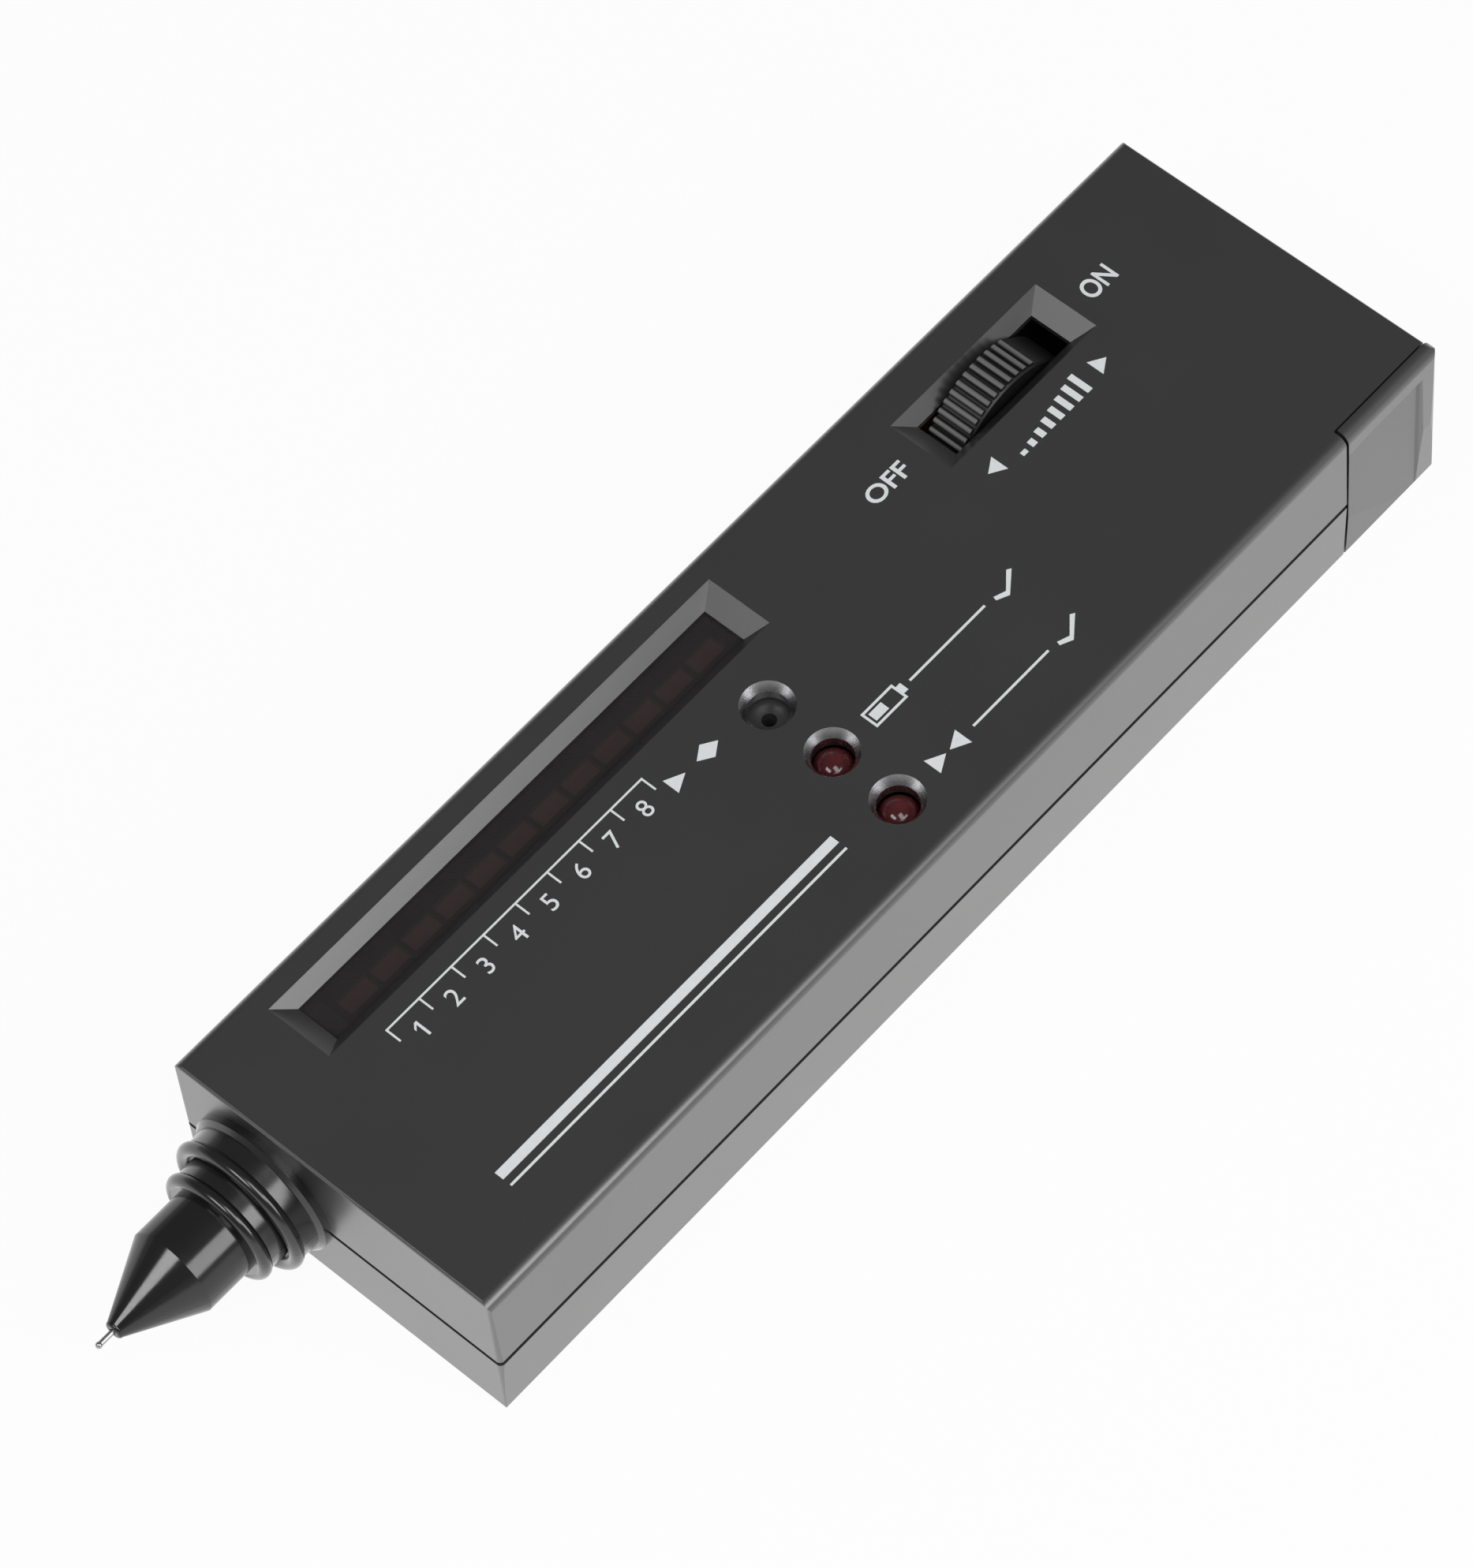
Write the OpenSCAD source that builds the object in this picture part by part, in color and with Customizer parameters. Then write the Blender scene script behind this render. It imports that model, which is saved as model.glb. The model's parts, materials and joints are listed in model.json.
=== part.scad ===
// Pocket thermal probe tester with a lamp-bar display, thumbwheel and sprung probe tip.
// Origin at the centre of the underside, +Y to the rear, +Z up, millimetres.

/* [Case] */
// Length of the case without the probe
case_len = 152; // [146:0.5:165]
// Width of the case
case_w = 45; // [44:0.5:52]
// Height of the case
case_h = 23; // [22.6:0.1:26]
// Thickness of the side and end walls
wall_t = 2; // [1.8:0.1:2.4]
// Thickness of the roof
roof_t = 2.4; // [2.3:0.1:2.8]
// Thickness of the floor
floor_t = 2; // [1.6:0.1:2.4]
// Height of the lower half up to the seam
seam_z = 10; // [9:0.1:11]
// Width of the dark gap at the seam
seam_gap = 0.7; // [0.2:0.05:0.9]
// Height of the inner lip that closes the seam
lip_h = 1.8; // [1.2:0.1:2.4]
// Thickness of the inner lip
lip_t = 0.9; // [0.7:0.05:1]
// Round on the long top edges
top_edge_r = 1.25; // [0.4:0.05:1.4]
// Lean of the long sides from the seam to the top
lean_top = 0.15; // [0:0.05:0.3]
// Lean of the long sides from the seam to the underside
lean_low = 0.4; // [0:0.05:0.5]
// Round on the end top edges
end_edge_r = 0.35; // [0.2:0.05:0.8]
// Round on the bottom edges
bottom_edge_r = 0.6; // [0.3:0.1:1]
// Round on the upright corners
corner_r = 0.6; // [0.3:0.1:1.2]

/* [Top openings] */
// Width of each bevelled recess at the top face
recess_w = 8.7; // [8:0.1:9.4]
// Depth of the recess bevels
bevel_depth = 1.7; // [1.5:0.1:2.2]
// Inset of the bevels along the long sides
bevel_side = 1.55; // [1.1:0.05:1.7]
// Inset of the bevels at the short ends
bevel_end = 2.6; // [1.8:0.1:3]
// Length of the display recess
window_len = 68.8; // [66:0.2:71]
// Front wall to the display recess
window_front = 11; // [9:0.2:13]
// Left wall to the display recess
window_left = 3.5; // [3.2:0.1:4]
// Length of the wheel recess
slot_len = 24.2; // [23.2:0.1:26]
// Middle of the top behind the display to the middle of the wheel recess
slot_back = 3.2; // [1:0.1:5]
// Left wall to the middle of the wheel recess
slot_left = 9.9; // [9.7:0.05:10.2]
// Rear end of the display recess to the row of lamp holes
lamp_back = 7.9; // [6:0.1:8.8]
// Left wall to the sound hole
sound_left = 18.9; // [18.6:0.1:20]
// Right wall to the last lamp hole
lamp_right = 7.8; // [7.2:0.1:9]
// Width of the lamp holes at the top face
hole_top_d = 6.2; // [6:0.1:7.6]
// Width of the lamp holes at the bottom of their cone
hole_low_d = 4.8; // [4.6:0.1:5.4]
// Depth of the cone in the lamp holes
hole_cone = 1.1; // [0.8:0.1:2.2]

/* [Display] */
// Thickness of the dark filter strip
filter_t = 1; // [0.8:0.1:1.2]
// Overlap of the filter strip under the roof
filter_lap = 1; // [0.6:0.1:1.4]
// Number of lamps in the bar
bar_count = 12; // [10:1:12]
// Front end of the display recess to the first lamp in the bar
bar_lead = 8.5; // [7:0.1:9.5]
// Last lamp in the bar to the rear end of the display recess
bar_tail = 5.96; // [5.4:0.02:8]
// Wall between two lamps in the bar
bar_wall = 0.74; // [0.6:0.02:1.2]
// Width of one bar lamp
bar_lamp_w = 2.2; // [1.8:0.1:3]
// Gap between the bar lamps and the filter strip
bar_gap = 0.5; // [0.3:0.1:3.6]
// Width of the lamp holder
holder_w = 6.6; // [5:0.1:7]

/* [Round lamps] */
// Diameter of the round lamps
lamp_d = 5; // [4.6:0.1:5]
// Height of a round lamp from flange to dome
lamp_h = 8.6; // [7.5:0.1:9]
// Diameter of a round lamp's flange
lamp_flange_d = 5.8; // [5.6:0.1:6]
// Depth of the dome's crown under the top face
lamp_sink = 1.3; // [0.8:0.1:1.8]

/* [Thumbwheel] */
// Gap between the wheel and the floor
wheel_gap = 2.2; // [1.6:0.1:4]
// Thickness of the wheel
wheel_t = 5; // [4.2:0.1:5.2]
// Height of the wheel above the top face
wheel_proud = 1.2; // [0.6:0.1:1.6]
// Length of each rib across the wheel
rib_l = 4.6; // [3.4:0.1:4.8]
// Height of the ribs
rib_h = 0.5; // [0.3:0.05:0.6]
// Width of a rib, which is half round at its top
rib_w = 0.84; // [0.6:0.02:0.9]
// Angle from one rib to the next
rib_step = 7; // [6:0.5:9]
// Number of ribs
rib_count = 43; // [30:1:44]
// Angle of the last rib behind the crest
rib_start = 22; // [10:1:40]
// Chamfer on the rims of the wheel
wheel_chamfer = 0.25; // [0.15:0.05:0.6]
// Diameter of the control's shaft
shaft_d = 6; // [5:0.1:6.4]
// Depth of the shaft's socket in the wheel
socket_depth = 2.9; // [2.4:0.1:3.2]
// Diameter of the wheel screw's head
wheel_screw_head = 4.8; // [4.2:0.1:5.4]
// Diameter of the wheel screw
wheel_screw_d = 2.2; // [1.8:0.1:2.4]
// Thickness of the wheel screw's head
wheel_screw_t = 0.7; // [0.5:0.1:0.9]

/* [Volume control] */
// Thickness of the control's housing
pot_t = 3.5; // [3.2:0.1:3.6]
// Gap between the control's housing and the roof
pot_gap = 0.3; // [0.2:0.05:1]
// Height of the solder terminals
terminal_h = 2; // [1.4:0.1:2.6]
// Number of solder terminals
pot_pins = 5; // [3:1:5]
// Distance between solder terminals
pot_pin_pitch = 2.4; // [2:0.1:2.6]
// Thickness of the control's small board
pot_board_t = 1.6; // [1.2:0.1:1.6]
// Length of the control's small board
pot_board_l = 20; // [16:0.5:21]
// Height of the ledges under the small board
ledge_h = 1.6; // [1:0.1:1.6]
// Thickness of the ledges
ledge_t = 1.2; // [1:0.1:1.6]

/* [Probe] */
// Left wall to the probe axis
probe_left = 11.9; // [11.4:0.1:13]
// Diameter of the collar
collar_d = 18.5; // [18:0.1:19.4]
// Thickness of the collar
collar_t = 0.9; // [0.6:0.1:1.2]
// Diameter over the rear lip
rear_lip_d = 17.7; // [17.2:0.1:18]
// Diameter over the front lip
front_lip_d = 14.6; // [14.2:0.1:15]
// Round of the lips
lip_r = 0.85; // [0.7:0.05:0.95]
// Height of the lips above the bands behind them (mm)
lip_proud = 0.45; // [0.3:0.05:0.6]
// Front face to the middle of the rear lip
rear_lip_u = 4; // [3.7:0.1:4.6]
// Front face to the middle of the front lip
front_lip_u = 7.2; // [7:0.1:7.6]
// Front face to the end of the sleeve
sleeve_end = 8; // [7.8:0.1:9]
// Diameter of the sleeve's neck in the front wall
neck_d = 13; // [12:0.1:14]
// Diameter of the flange behind the front wall
flange_d = 15.6; // [15:0.1:16]
// Thickness of the flange behind the front wall
flange_t = 1.8; // [1.4:0.1:2.2]
// Diameter of the nose cylinder
nose_d = 11; // [10.4:0.1:11.6]
// Front face to the end of the nose cylinder
nose_end = 14.2; // [13.4:0.1:15]
// Front face to the end of the cone
cone_end = 23.2; // [22.6:0.1:24]
// Diameter of the cone's small end
cone_d = 2.3; // [2:0.1:2.8]
// Round on the cone's small end
cone_round = 0.4; // [0.2:0.05:0.5]
// Diameter of the nose's shank in the sleeve
shank_d = 8; // [7.4:0.1:8.6]
// Bore of the nose for the spring
barrel_d = 5.2; // [4.8:0.1:5.4]
// Front face to the shoulder at the end of that bore
barrel_end = 15.5; // [15:0.1:15.8]
// Front face to the end of the stem's bore
stem_end = 20; // [19.6:0.1:20.2]

/* [Tip] */
// Diameter of the tip pin
tip_d = 0.65; // [0.5:0.05:0.8]
// Diameter of the ball on the tip
ball_d = 0.8; // [0.7:0.05:0.9]
// Front face to the point of the tip
tip_end = 25.6; // [25:0.1:26.6]
// Travel of the tip
tip_travel = 1.5; // [0.8:0.1:2]
// Diameter of the front stem
stem_d = 1.6; // [1.4:0.1:1.8]
// Diameter of the rear stem
rod_d = 2; // [1.6:0.1:2.2]
// Length of the plunger's guide
guide_l = 3; // [2:0.1:3.4]
// Length of the plug at the rear of the nose
plug_l = 7.6; // [6.8:0.1:8]
// Length of the heater bead
bead_l = 3; // [2:0.1:3.2]
// Diameter of the heater bead
bead_d = 1.8; // [1.4:0.1:1.9]
// Wire of the tip spring
spring_wire = 0.4; // [0.3:0.05:0.45]
// Mean diameter of the tip spring
spring_d = 3.5; // [3.3:0.1:3.6]
// Turns of the tip spring
spring_turns = 6; // [4:1:7]

/* [Battery] */
// Gap between the wheel and the rib beside the battery
bay_gap = 0.9; // [0.6:0.1:1.4]
// Thickness of the foam pad over the battery
pad_t = 1.1; // [0.8:0.1:1.6]
// Main board to the battery's jacket
bay_front = 16.7; // [16:0.1:18]
// Round of the battery's edges
batt_r = 2.4; // [1.6:0.1:3]
// Distance between the battery's terminals
stud_pitch = 12.7; // [12.3:0.1:13]
// Height of the terminals
stud_h = 2.1; // [1.8:0.1:2.3]
// Diameter of the round terminal
stud_d = 5.6; // [5.2:0.1:5.8]
// Diameter of the crown terminal
crown_d = 8.6; // [8.2:0.1:9]
// Thickness of the snap plate
snap_t = 2.1; // [1.6:0.1:2.4]
// Side of the battery to the end of the snap plate
snap_edge = 0.75; // [0.4:0.05:1.4]
// Height of the snap plate
snap_h = 12.4; // [11:0.2:13]
// Thickness of the ribs round the battery
bay_rib_t = 1.2; // [1:0.1:1.4]
// Height of the ribs round the battery
bay_rib_h = 7; // [4:0.2:7.4]

/* [Battery door] */
// Length of the door along the side
door_len = 14.9; // [12:0.1:16]
// Thickness of the door's side
door_t = 1.8; // [1.6:0.1:1.9]
// Thickness of the door's end
door_end_t = 1.8; // [1.6:0.1:2]
// How far the door stands proud at the rear
door_proud = 0.7; // [0:0.05:0.9]
// Gap round the door
door_gap = 0.4; // [0.2:0.05:0.5]
// Round on the door's upright corner
door_corner_r = 1.7; // [0.8:0.1:2.2]
// Round on the door's top edge
door_top_r = 1.4; // [0.8:0.05:1.4]
// Depth of the thumb panel at its front
panel_lead = 0.1; // [0.05:0.05:0.2]
// Depth of the thumb panel at its rear
panel_depth = 0.45; // [0.25:0.05:0.5]
// Width of the slope round the thumb panel
panel_slope = 0.9; // [0.5:0.05:1.2]
// Top of the door to the thumb panel
panel_top = 2.8; // [2.2:0.1:5]
// Rear of the door to the thumb panel
panel_rear = 2.8; // [2.4:0.1:3.4]
// Length of the guide tongue past the door
tongue_l = 12; // [8:0.5:14]
// Thickness of the guide tongue
tongue_t = 1.1; // [0.9:0.05:1.2]
// Height of the guide tongue
tongue_h = 10; // [6:0.5:12]
// Travel of the door
door_travel = 22; // [16:0.5:30]

/* [Main board] */
// Thickness of the main board
board_t = 1.6; // [1.2:0.1:1.7]
// Front wall to the main board
board_front = 14; // [13.6:0.1:14.4]
// Rear end of the display recess to the end of the main board
board_back = 6.7; // [6:0.1:8]
// Height of the posts under the main board
board_post_h = 6.8; // [6.4:0.1:7]
// Edge of the main board to its screws
board_post_inset = 3.6; // [3.2:0.1:4]
// Diameter of the posts under the main board
board_post_d = 5; // [4.4:0.1:5.4]
// Gap between the buzzer and the lamp beside it
buzzer_gap = 0.25; // [0.2:0.05:0.8]
// Gap between the buzzer and the roof
buzzer_drop = 0.6; // [0.4:0.1:2]
// Room between the lamp holder and the driver chips
chip_room = 3.8; // [3.4:0.1:4]
// Distance from a chip's body to the outside of its legs
leg_out = 0.8; // [0.6:0.05:1]
// Distance from a resistor's body to the end of its leads
resistor_out = 1.2; // [0.8:0.1:1.4]
// Number of resistors in a row
resistor_count = 4; // [3:1:4]
// Diameter of a capacitor
cap_d = 6.3; // [5:0.1:6.6]
// Height of a capacitor
cap_h = 7.6; // [6:0.1:8]
// Size of a trimmer's sides
trimmer_w = 6.6; // [6:0.1:7]
// Height of a trimmer
trimmer_h = 4.4; // [3.6:0.1:5]
// Width of a chip's body
chip_w = 6.4; // [6:0.1:6.6]
// Thickness of a chip's body
chip_t = 3.3; // [2.8:0.1:3.6]
// Distance between a chip's legs
chip_pitch = 2.54; // [2.5:0.01:2.56]
// Length of a resistor's body
resistor_l = 6.3; // [5:0.1:6.6]
// Diameter of a resistor's body
resistor_d = 2.3; // [1.8:0.1:2.5]
// Diameter of the leads
lead_d = 0.8; // [0.6:0.05:0.8]
// Straight start of a lead
lead_stub = 1.5; // [1:0.1:2]
// Upright end of a lead on the main board
lead_foot = 1.2; // [0.8:0.1:1.6]
// Height of a lead's arch over the edge of the main board
lead_arch = 2.4; // [1.8:0.1:3]
// Edge of the main board to the end of a lead
lead_land = 2.2; // [1.8:0.1:2.6]

/* [Screws] */
// Diameter of the case screws
screw_d = 2.6; // [2.4:0.1:2.8]
// Diameter of a case screw's head
screw_head_d = 5.2; // [4.8:0.1:5.6]
// Thickness of a case screw's head
screw_head_t = 1.8; // [1.4:0.1:2]
// Length of a case screw's thread
screw_l = 11; // [9:0.5:12]
// Depth of the wells under the case screws
well_depth = 6; // [5:0.1:6.5]
// Diameter of the screw posts in the lower half
post_low_d = 7.8; // [7.4:0.1:8]
// Diameter of the screw posts in the upper half
post_top_d = 6; // [5.2:0.1:6.4]
// Diameter of the board screws
board_screw_d = 2; // [1.8:0.1:2.2]
// Diameter of a board screw's head
board_screw_head = 4; // [3.6:0.1:4.4]
// Thickness of a board screw's head
board_screw_t = 1.2; // [1:0.1:1.4]
// Length of a board screw's thread
board_screw_l = 6; // [5:0.2:7]

/* [Clearances] */
// Radial clearance of a turning or sliding fit
run_clear = 0.05; // [0.03:0.01:0.1]
// Clearance round a seated piece
seat_clear = 0.1; // [0.05:0.05:0.15]
// Clearance between loose neighbours
free_clear = 0.2; // [0.15:0.05:0.3]

/* [Hidden] */
$fn = 48;
over = 1;
top_z = case_h;
roof_z = case_h - roof_t;
left_x = -case_w / 2;
right_x = case_w / 2;
front_y = -case_len / 2;
rear_y = case_len / 2;
inner_left = left_x + wall_t;
inner_right = right_x - wall_t;
upper_z = seam_z + seam_gap;
post_z = seam_z + seam_gap / 2;

window_x = left_x + window_left + recess_w / 2;
window_y0 = front_y + window_front;
window_y1 = window_y0 + window_len;
window_y = (window_y0 + window_y1) / 2;
slot_x = left_x + slot_left;
slot_y = (window_y1 + rear_y) / 2 + slot_back;
lamp_y = window_y1 - lamp_back;
sound_x = left_x + sound_left;
ready_lamp_x = right_x - lamp_right;
battery_lamp_x = (sound_x + ready_lamp_x) / 2;
lamp_pitch = battery_lamp_x - sound_x;
filter_z = roof_z - filter_t;

wheel_r = (top_z + wheel_proud - floor_t - wheel_gap) / 2;
wheel_z = top_z + wheel_proud - wheel_r;
wheel_x0 = slot_x - wheel_t / 2;
wheel_x1 = slot_x + wheel_t / 2;
pot_x1 = wheel_x0 - 2 * free_clear;
pot_x0 = pot_x1 - pot_t;
pot_r = roof_z - wheel_z - pot_gap;
pot_board_z = floor_t + ledge_h;
pot_board_top = pot_board_z + pot_board_t;
pot_board_y = slot_y - pot_board_l / 2;
pot_low_z = pot_board_top + terminal_h;
shaft_end = 0.3;
thread_x = pot_x0 + 2;
ledge_rows = [slot_y - 0.38 * pot_board_l, slot_y + 0.38 * pot_board_l];

probe_x = left_x + probe_left;
probe_z = case_h / 2;
shank_back = -wall_t - seat_clear - flange_t;
plug_front = shank_back + plug_l;
guide_front = barrel_end - seat_clear;
guide_back = guide_front - guide_l;
bead_room = 2.5;
rod_back = shank_back + bead_room + tip_travel + bead_l;
spring_gap = 0.1;

board_x0 = inner_left + 2 * free_clear;
board_x1 = inner_right - 2 * free_clear;
board_y = front_y + board_front;
board_rear = window_y1 + board_back;
board_l = board_rear - board_y;
board_low = floor_t + board_post_h;
board_z = board_low + board_t;
bar_y = window_y0 + bar_lead;
bar_pitch = (window_len - bar_lead - bar_tail) / (bar_count - 1);
bar_lamp_l = bar_pitch - bar_wall;
bar_lamp_h = filter_z - board_z - bar_gap;
holder_end = 1;
holder_x1 = window_x + holder_w / 2;
holder_l = (bar_count - 1) * bar_pitch + bar_lamp_l + 2 * holder_end;

door_x = right_x - door_t;
door_y = rear_y - door_len;
door_rear = rear_y + door_proud;
door_end_y = rear_y - door_end_t;
bay_rib_x = wheel_x1 + bay_gap;
batt_x0 = bay_rib_x + bay_rib_t + 2 * free_clear;
batt_x1 = inner_right - seat_clear - tongue_t - 2 * free_clear;
batt_x = (batt_x0 + batt_x1) / 2;
batt_w = batt_x1 - batt_x0;
batt_t = roof_z - floor_t - pad_t;
batt_z = floor_t + batt_t / 2;
batt_y = board_rear + bay_front;
batt_rear = door_end_y - 3 * free_clear;
batt_l = batt_rear - batt_y;
batt_rim = 0.5;
stud_y = batt_y - stud_h;
snap_face = stud_y - 2 * free_clear;
snap_w = batt_w - 2 * snap_edge;
snap_room = 2;
bay_rib_y = snap_face - snap_t - snap_room - bay_rib_t;
door_left = bay_rib_x + bay_rib_t + free_clear;

buzzer_r = min(lamp_pitch - lamp_flange_d / 2, sound_x - holder_x1) - buzzer_gap;
buzzer_h = roof_z - board_z - buzzer_drop;
chip_span = chip_w / 2 + leg_out;
chip_x = holder_x1 + chip_room + chip_span;
driver_y0 = board_y + board_post_d;
driver_room = lamp_y - buzzer_r - driver_y0;
driver_pairs = floor((driver_room - 2 * free_clear) / 2 / chip_pitch);
driver_l = driver_pairs * chip_pitch;
driver_rows = [driver_y0 + driver_room / 2 - driver_l / 2, driver_y0 + driver_room - driver_l / 2];
amplifier_pairs = 4;
amplifier_l = amplifier_pairs * chip_pitch;

area_x0 = chip_x + chip_span + free_clear;
area_x1 = board_x1 - free_clear;
area_y0 = board_y + board_post_inset + board_screw_head / 2;
resistor_span = resistor_l + 2 * resistor_out;
row_depths = [trimmer_w, cap_d, resistor_span, amplifier_l, resistor_span];
row_count = len(row_depths);
row_room = lamp_y - lamp_flange_d / 2 - area_y0 - sum_to(row_depths, row_count);
row_gap = row_room / (row_count + 1);
rows = [for (i = [0:row_count - 1])
    area_y0 + sum_to(row_depths, i) + row_gap * (i + 1) + row_depths[i] / 2];
trimmer_places = [[area_x0 + trimmer_w / 2, rows[0]], [area_x1 - trimmer_w / 2, rows[0]]];
cap_places = [
    [area_x0 + cap_d / 2, rows[1]], [area_x1 - cap_d / 2, rows[1]], [area_x1 - cap_d / 2, rows[3]]
];
amplifier_place = [area_x0 + chip_span, rows[3]];
resistor_pitch = (area_x1 - area_x0 - resistor_d) / (resistor_count - 1);
resistor_places = [for (y = [rows[2], rows[4]], i = [0:resistor_count - 1])
    [area_x0 + resistor_d / 2 + i * resistor_pitch, y]];

board_posts = [
    [area_x0 + board_post_d, board_y + board_post_inset],
    [board_x1 - board_post_inset, board_y + board_post_inset],
    [board_x1 - board_post_inset, board_rear - board_post_inset],
    [holder_x1 + board_post_d / 2, board_rear - board_post_inset]
];
post_inset = 3.7;
front_post_y = front_y - shank_back + 2 * free_clear + post_low_d / 2;
case_posts = [
    [inner_right - post_inset, front_post_y], [inner_left + post_inset, front_post_y],
    [inner_right - post_inset, board_rear + 5.4], [inner_left + post_inset, rear_y - wall_t - 8]
];

// Sum of the first so many numbers of a list
function sum_to(list, n) = n == 0 ? 0 : list[n - 1] + sum_to(list, n - 1);

// Profile in X and Z carried along +Y
module along_y(y0, l) {
    translate([0, y0 + l, 0]) rotate([90, 0, 0]) linear_extrude(l) children();
}

// Profile in Y and Z carried along +X
module along_x(x0, l) {
    translate([x0, 0, 0]) rotate([90, 0, 90]) linear_extrude(l) children();
}

// Profile of radius and reach turned about the probe axis, reaching out of the front face
module turned_on_probe() {
    translate([probe_x, front_y, probe_z]) rotate([90, 0, 0]) rotate_extrude() children();
}

// Round bar on the probe axis between two reaches
module probe_bar(d, u0, u1) {
    turned_on_probe() translate([0, u0]) square([d / 2, u1 - u0]);
}

// Round bar along X through the wheel's axis
module wheel_bar(d, x0, x1) {
    translate([x0, slot_y, wheel_z]) rotate([0, 90, 0]) cylinder(d = d, h = x1 - x0);
}

// Rectangle from corner to corner with one radius at its low corners and one at its high ones
module edged(x0, y0, x1, y1, low_r, high_r) {
    translate([x0, y0 + low_r]) square([x1 - x0, y1 - y0 - low_r - high_r]);
    translate([x0 + low_r, y0]) square([x1 - x0 - 2 * low_r, low_r + over / 2]);
    translate([x0 + high_r, y1 - high_r - over / 2]) square([x1 - x0 - 2 * high_r, high_r + over / 2]);
    for (x = [x0 + low_r, x1 - low_r]) translate([x, y0 + low_r]) circle(low_r);
    for (x = [x0 + high_r, x1 - high_r]) translate([x, y1 - high_r]) circle(high_r);
}

// Cross-section of the case, widest at the seam, with one radius at its low corners and one at its high ones
module case_profile(low_r, high_r) {
    low_a = atan(lean_low / seam_z);
    high_a = atan(lean_top / (top_z - seam_z));
    low_x = right_x - lean_low + low_r * tan(low_a) - low_r / cos(low_a);
    high_x = right_x - lean_top + high_r * tan(high_a) - high_r / cos(high_a);
    high_z = top_z - high_r;
    side = [
        [low_x, 0], [low_x + low_r * cos(low_a), low_r - low_r * sin(low_a)], [right_x, seam_z],
        [high_x + high_r * cos(high_a), high_z + high_r * sin(high_a)], [high_x, top_z]
    ];
    polygon(concat(side, [for (i = [len(side) - 1:-1:0]) [-side[i][0], side[i][1]]]));
    for (s = [-1, 1]) {
        translate([s * low_x, low_r]) circle(low_r);
        translate([s * high_x, high_z]) circle(high_r);
    }
}

// Outer block of the case with all its edge rounds
module case_block() {
    intersection() {
        along_y(front_y, case_len) case_profile(bottom_edge_r, top_edge_r);
        along_x(left_x, case_w) edged(front_y, 0, rear_y, top_z, bottom_edge_r, end_edge_r);
        linear_extrude(top_z) edged(left_x, front_y, right_x, rear_y, corner_r, corner_r);
    }
}

// Upright block of the case's plan set in by one amount
module inset_block(inset, z0, z1) {
    translate([left_x + inset, front_y + inset, z0])
        cube([case_w - 2 * inset, case_len - 2 * inset, z1 - z0]);
}

// Space that the battery door takes out of the case
module door_space(z0, z1) {
    translate([door_x - free_clear, door_y - door_gap, -over])
        cube([door_t + free_clear + over, door_len + door_gap + over, top_z + 2 * over]);
    translate([door_left - door_gap, rear_y - wall_t - over, z0])
        cube([right_x - door_left + door_gap, wall_t + 2 * over, z1 - z0]);
}

// Four-sided bevelled recess with its straight opening
module bevelled_recess(x, y, l) {
    low_w = recess_w - 2 * bevel_side;
    low_l = l - 2 * bevel_end;
    rise = over * bevel_side / bevel_depth;
    run = over * bevel_end / bevel_depth;
    z = top_z - bevel_depth;
    intersection() {
        along_y(y - l, 2 * l) polygon([
            [x - low_w / 2, z], [x + low_w / 2, z],
            [x + recess_w / 2 + rise, top_z + over], [x - recess_w / 2 - rise, top_z + over]
        ]);
        along_x(x - l, 2 * l) polygon([
            [y - low_l / 2, z], [y + low_l / 2, z],
            [y + l / 2 + run, top_z + over], [y - l / 2 - run, top_z + over]
        ]);
    }
    translate([x - low_w / 2, y - low_l / 2, roof_z - over]) cube([low_w, low_l, roof_t]);
}

// Countersunk hole through the roof
module cone_hole(x) {
    slope = (hole_top_d - hole_low_d) / 2 / hole_cone;
    translate([x, lamp_y, top_z - hole_cone])
        cylinder(d1 = hole_low_d, d2 = hole_top_d + 2 * slope * over, h = hole_cone + over);
    translate([x, lamp_y, roof_z - over]) cylinder(d = hole_low_d, h = roof_t);
}

// Hole in the front wall for the neck of the probe sleeve
module neck_hole() {
    probe_bar(neck_d + 2 * seat_clear, -wall_t - over, over);
}

module upper_case() {
    color([0.22, 0.22, 0.23]) difference() {
        union() {
            difference() {
                case_block();
                translate([left_x - over, front_y - over, -over])
                    cube([case_w + 2 * over, case_len + 2 * over, upper_z + over]);
                inset_block(wall_t, 0, roof_z);
                inset_block(wall_t - lip_t - seat_clear, 0, seam_z + lip_h + free_clear);
            }
            for (p = case_posts) translate([p[0], p[1], post_z])
                cylinder(d = post_top_d, h = roof_z - post_z + over / 2);
        }
        bevelled_recess(window_x, window_y, window_len);
        bevelled_recess(slot_x, slot_y, slot_len);
        for (x = [sound_x, battery_lamp_x, ready_lamp_x]) cone_hole(x);
        for (p = case_posts) translate([p[0], p[1], 0])
            cylinder(d = screw_d + 2 * run_clear, h = well_depth + screw_l + 1);
        neck_hole();
        door_space(0, roof_z);
    }
}

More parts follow.
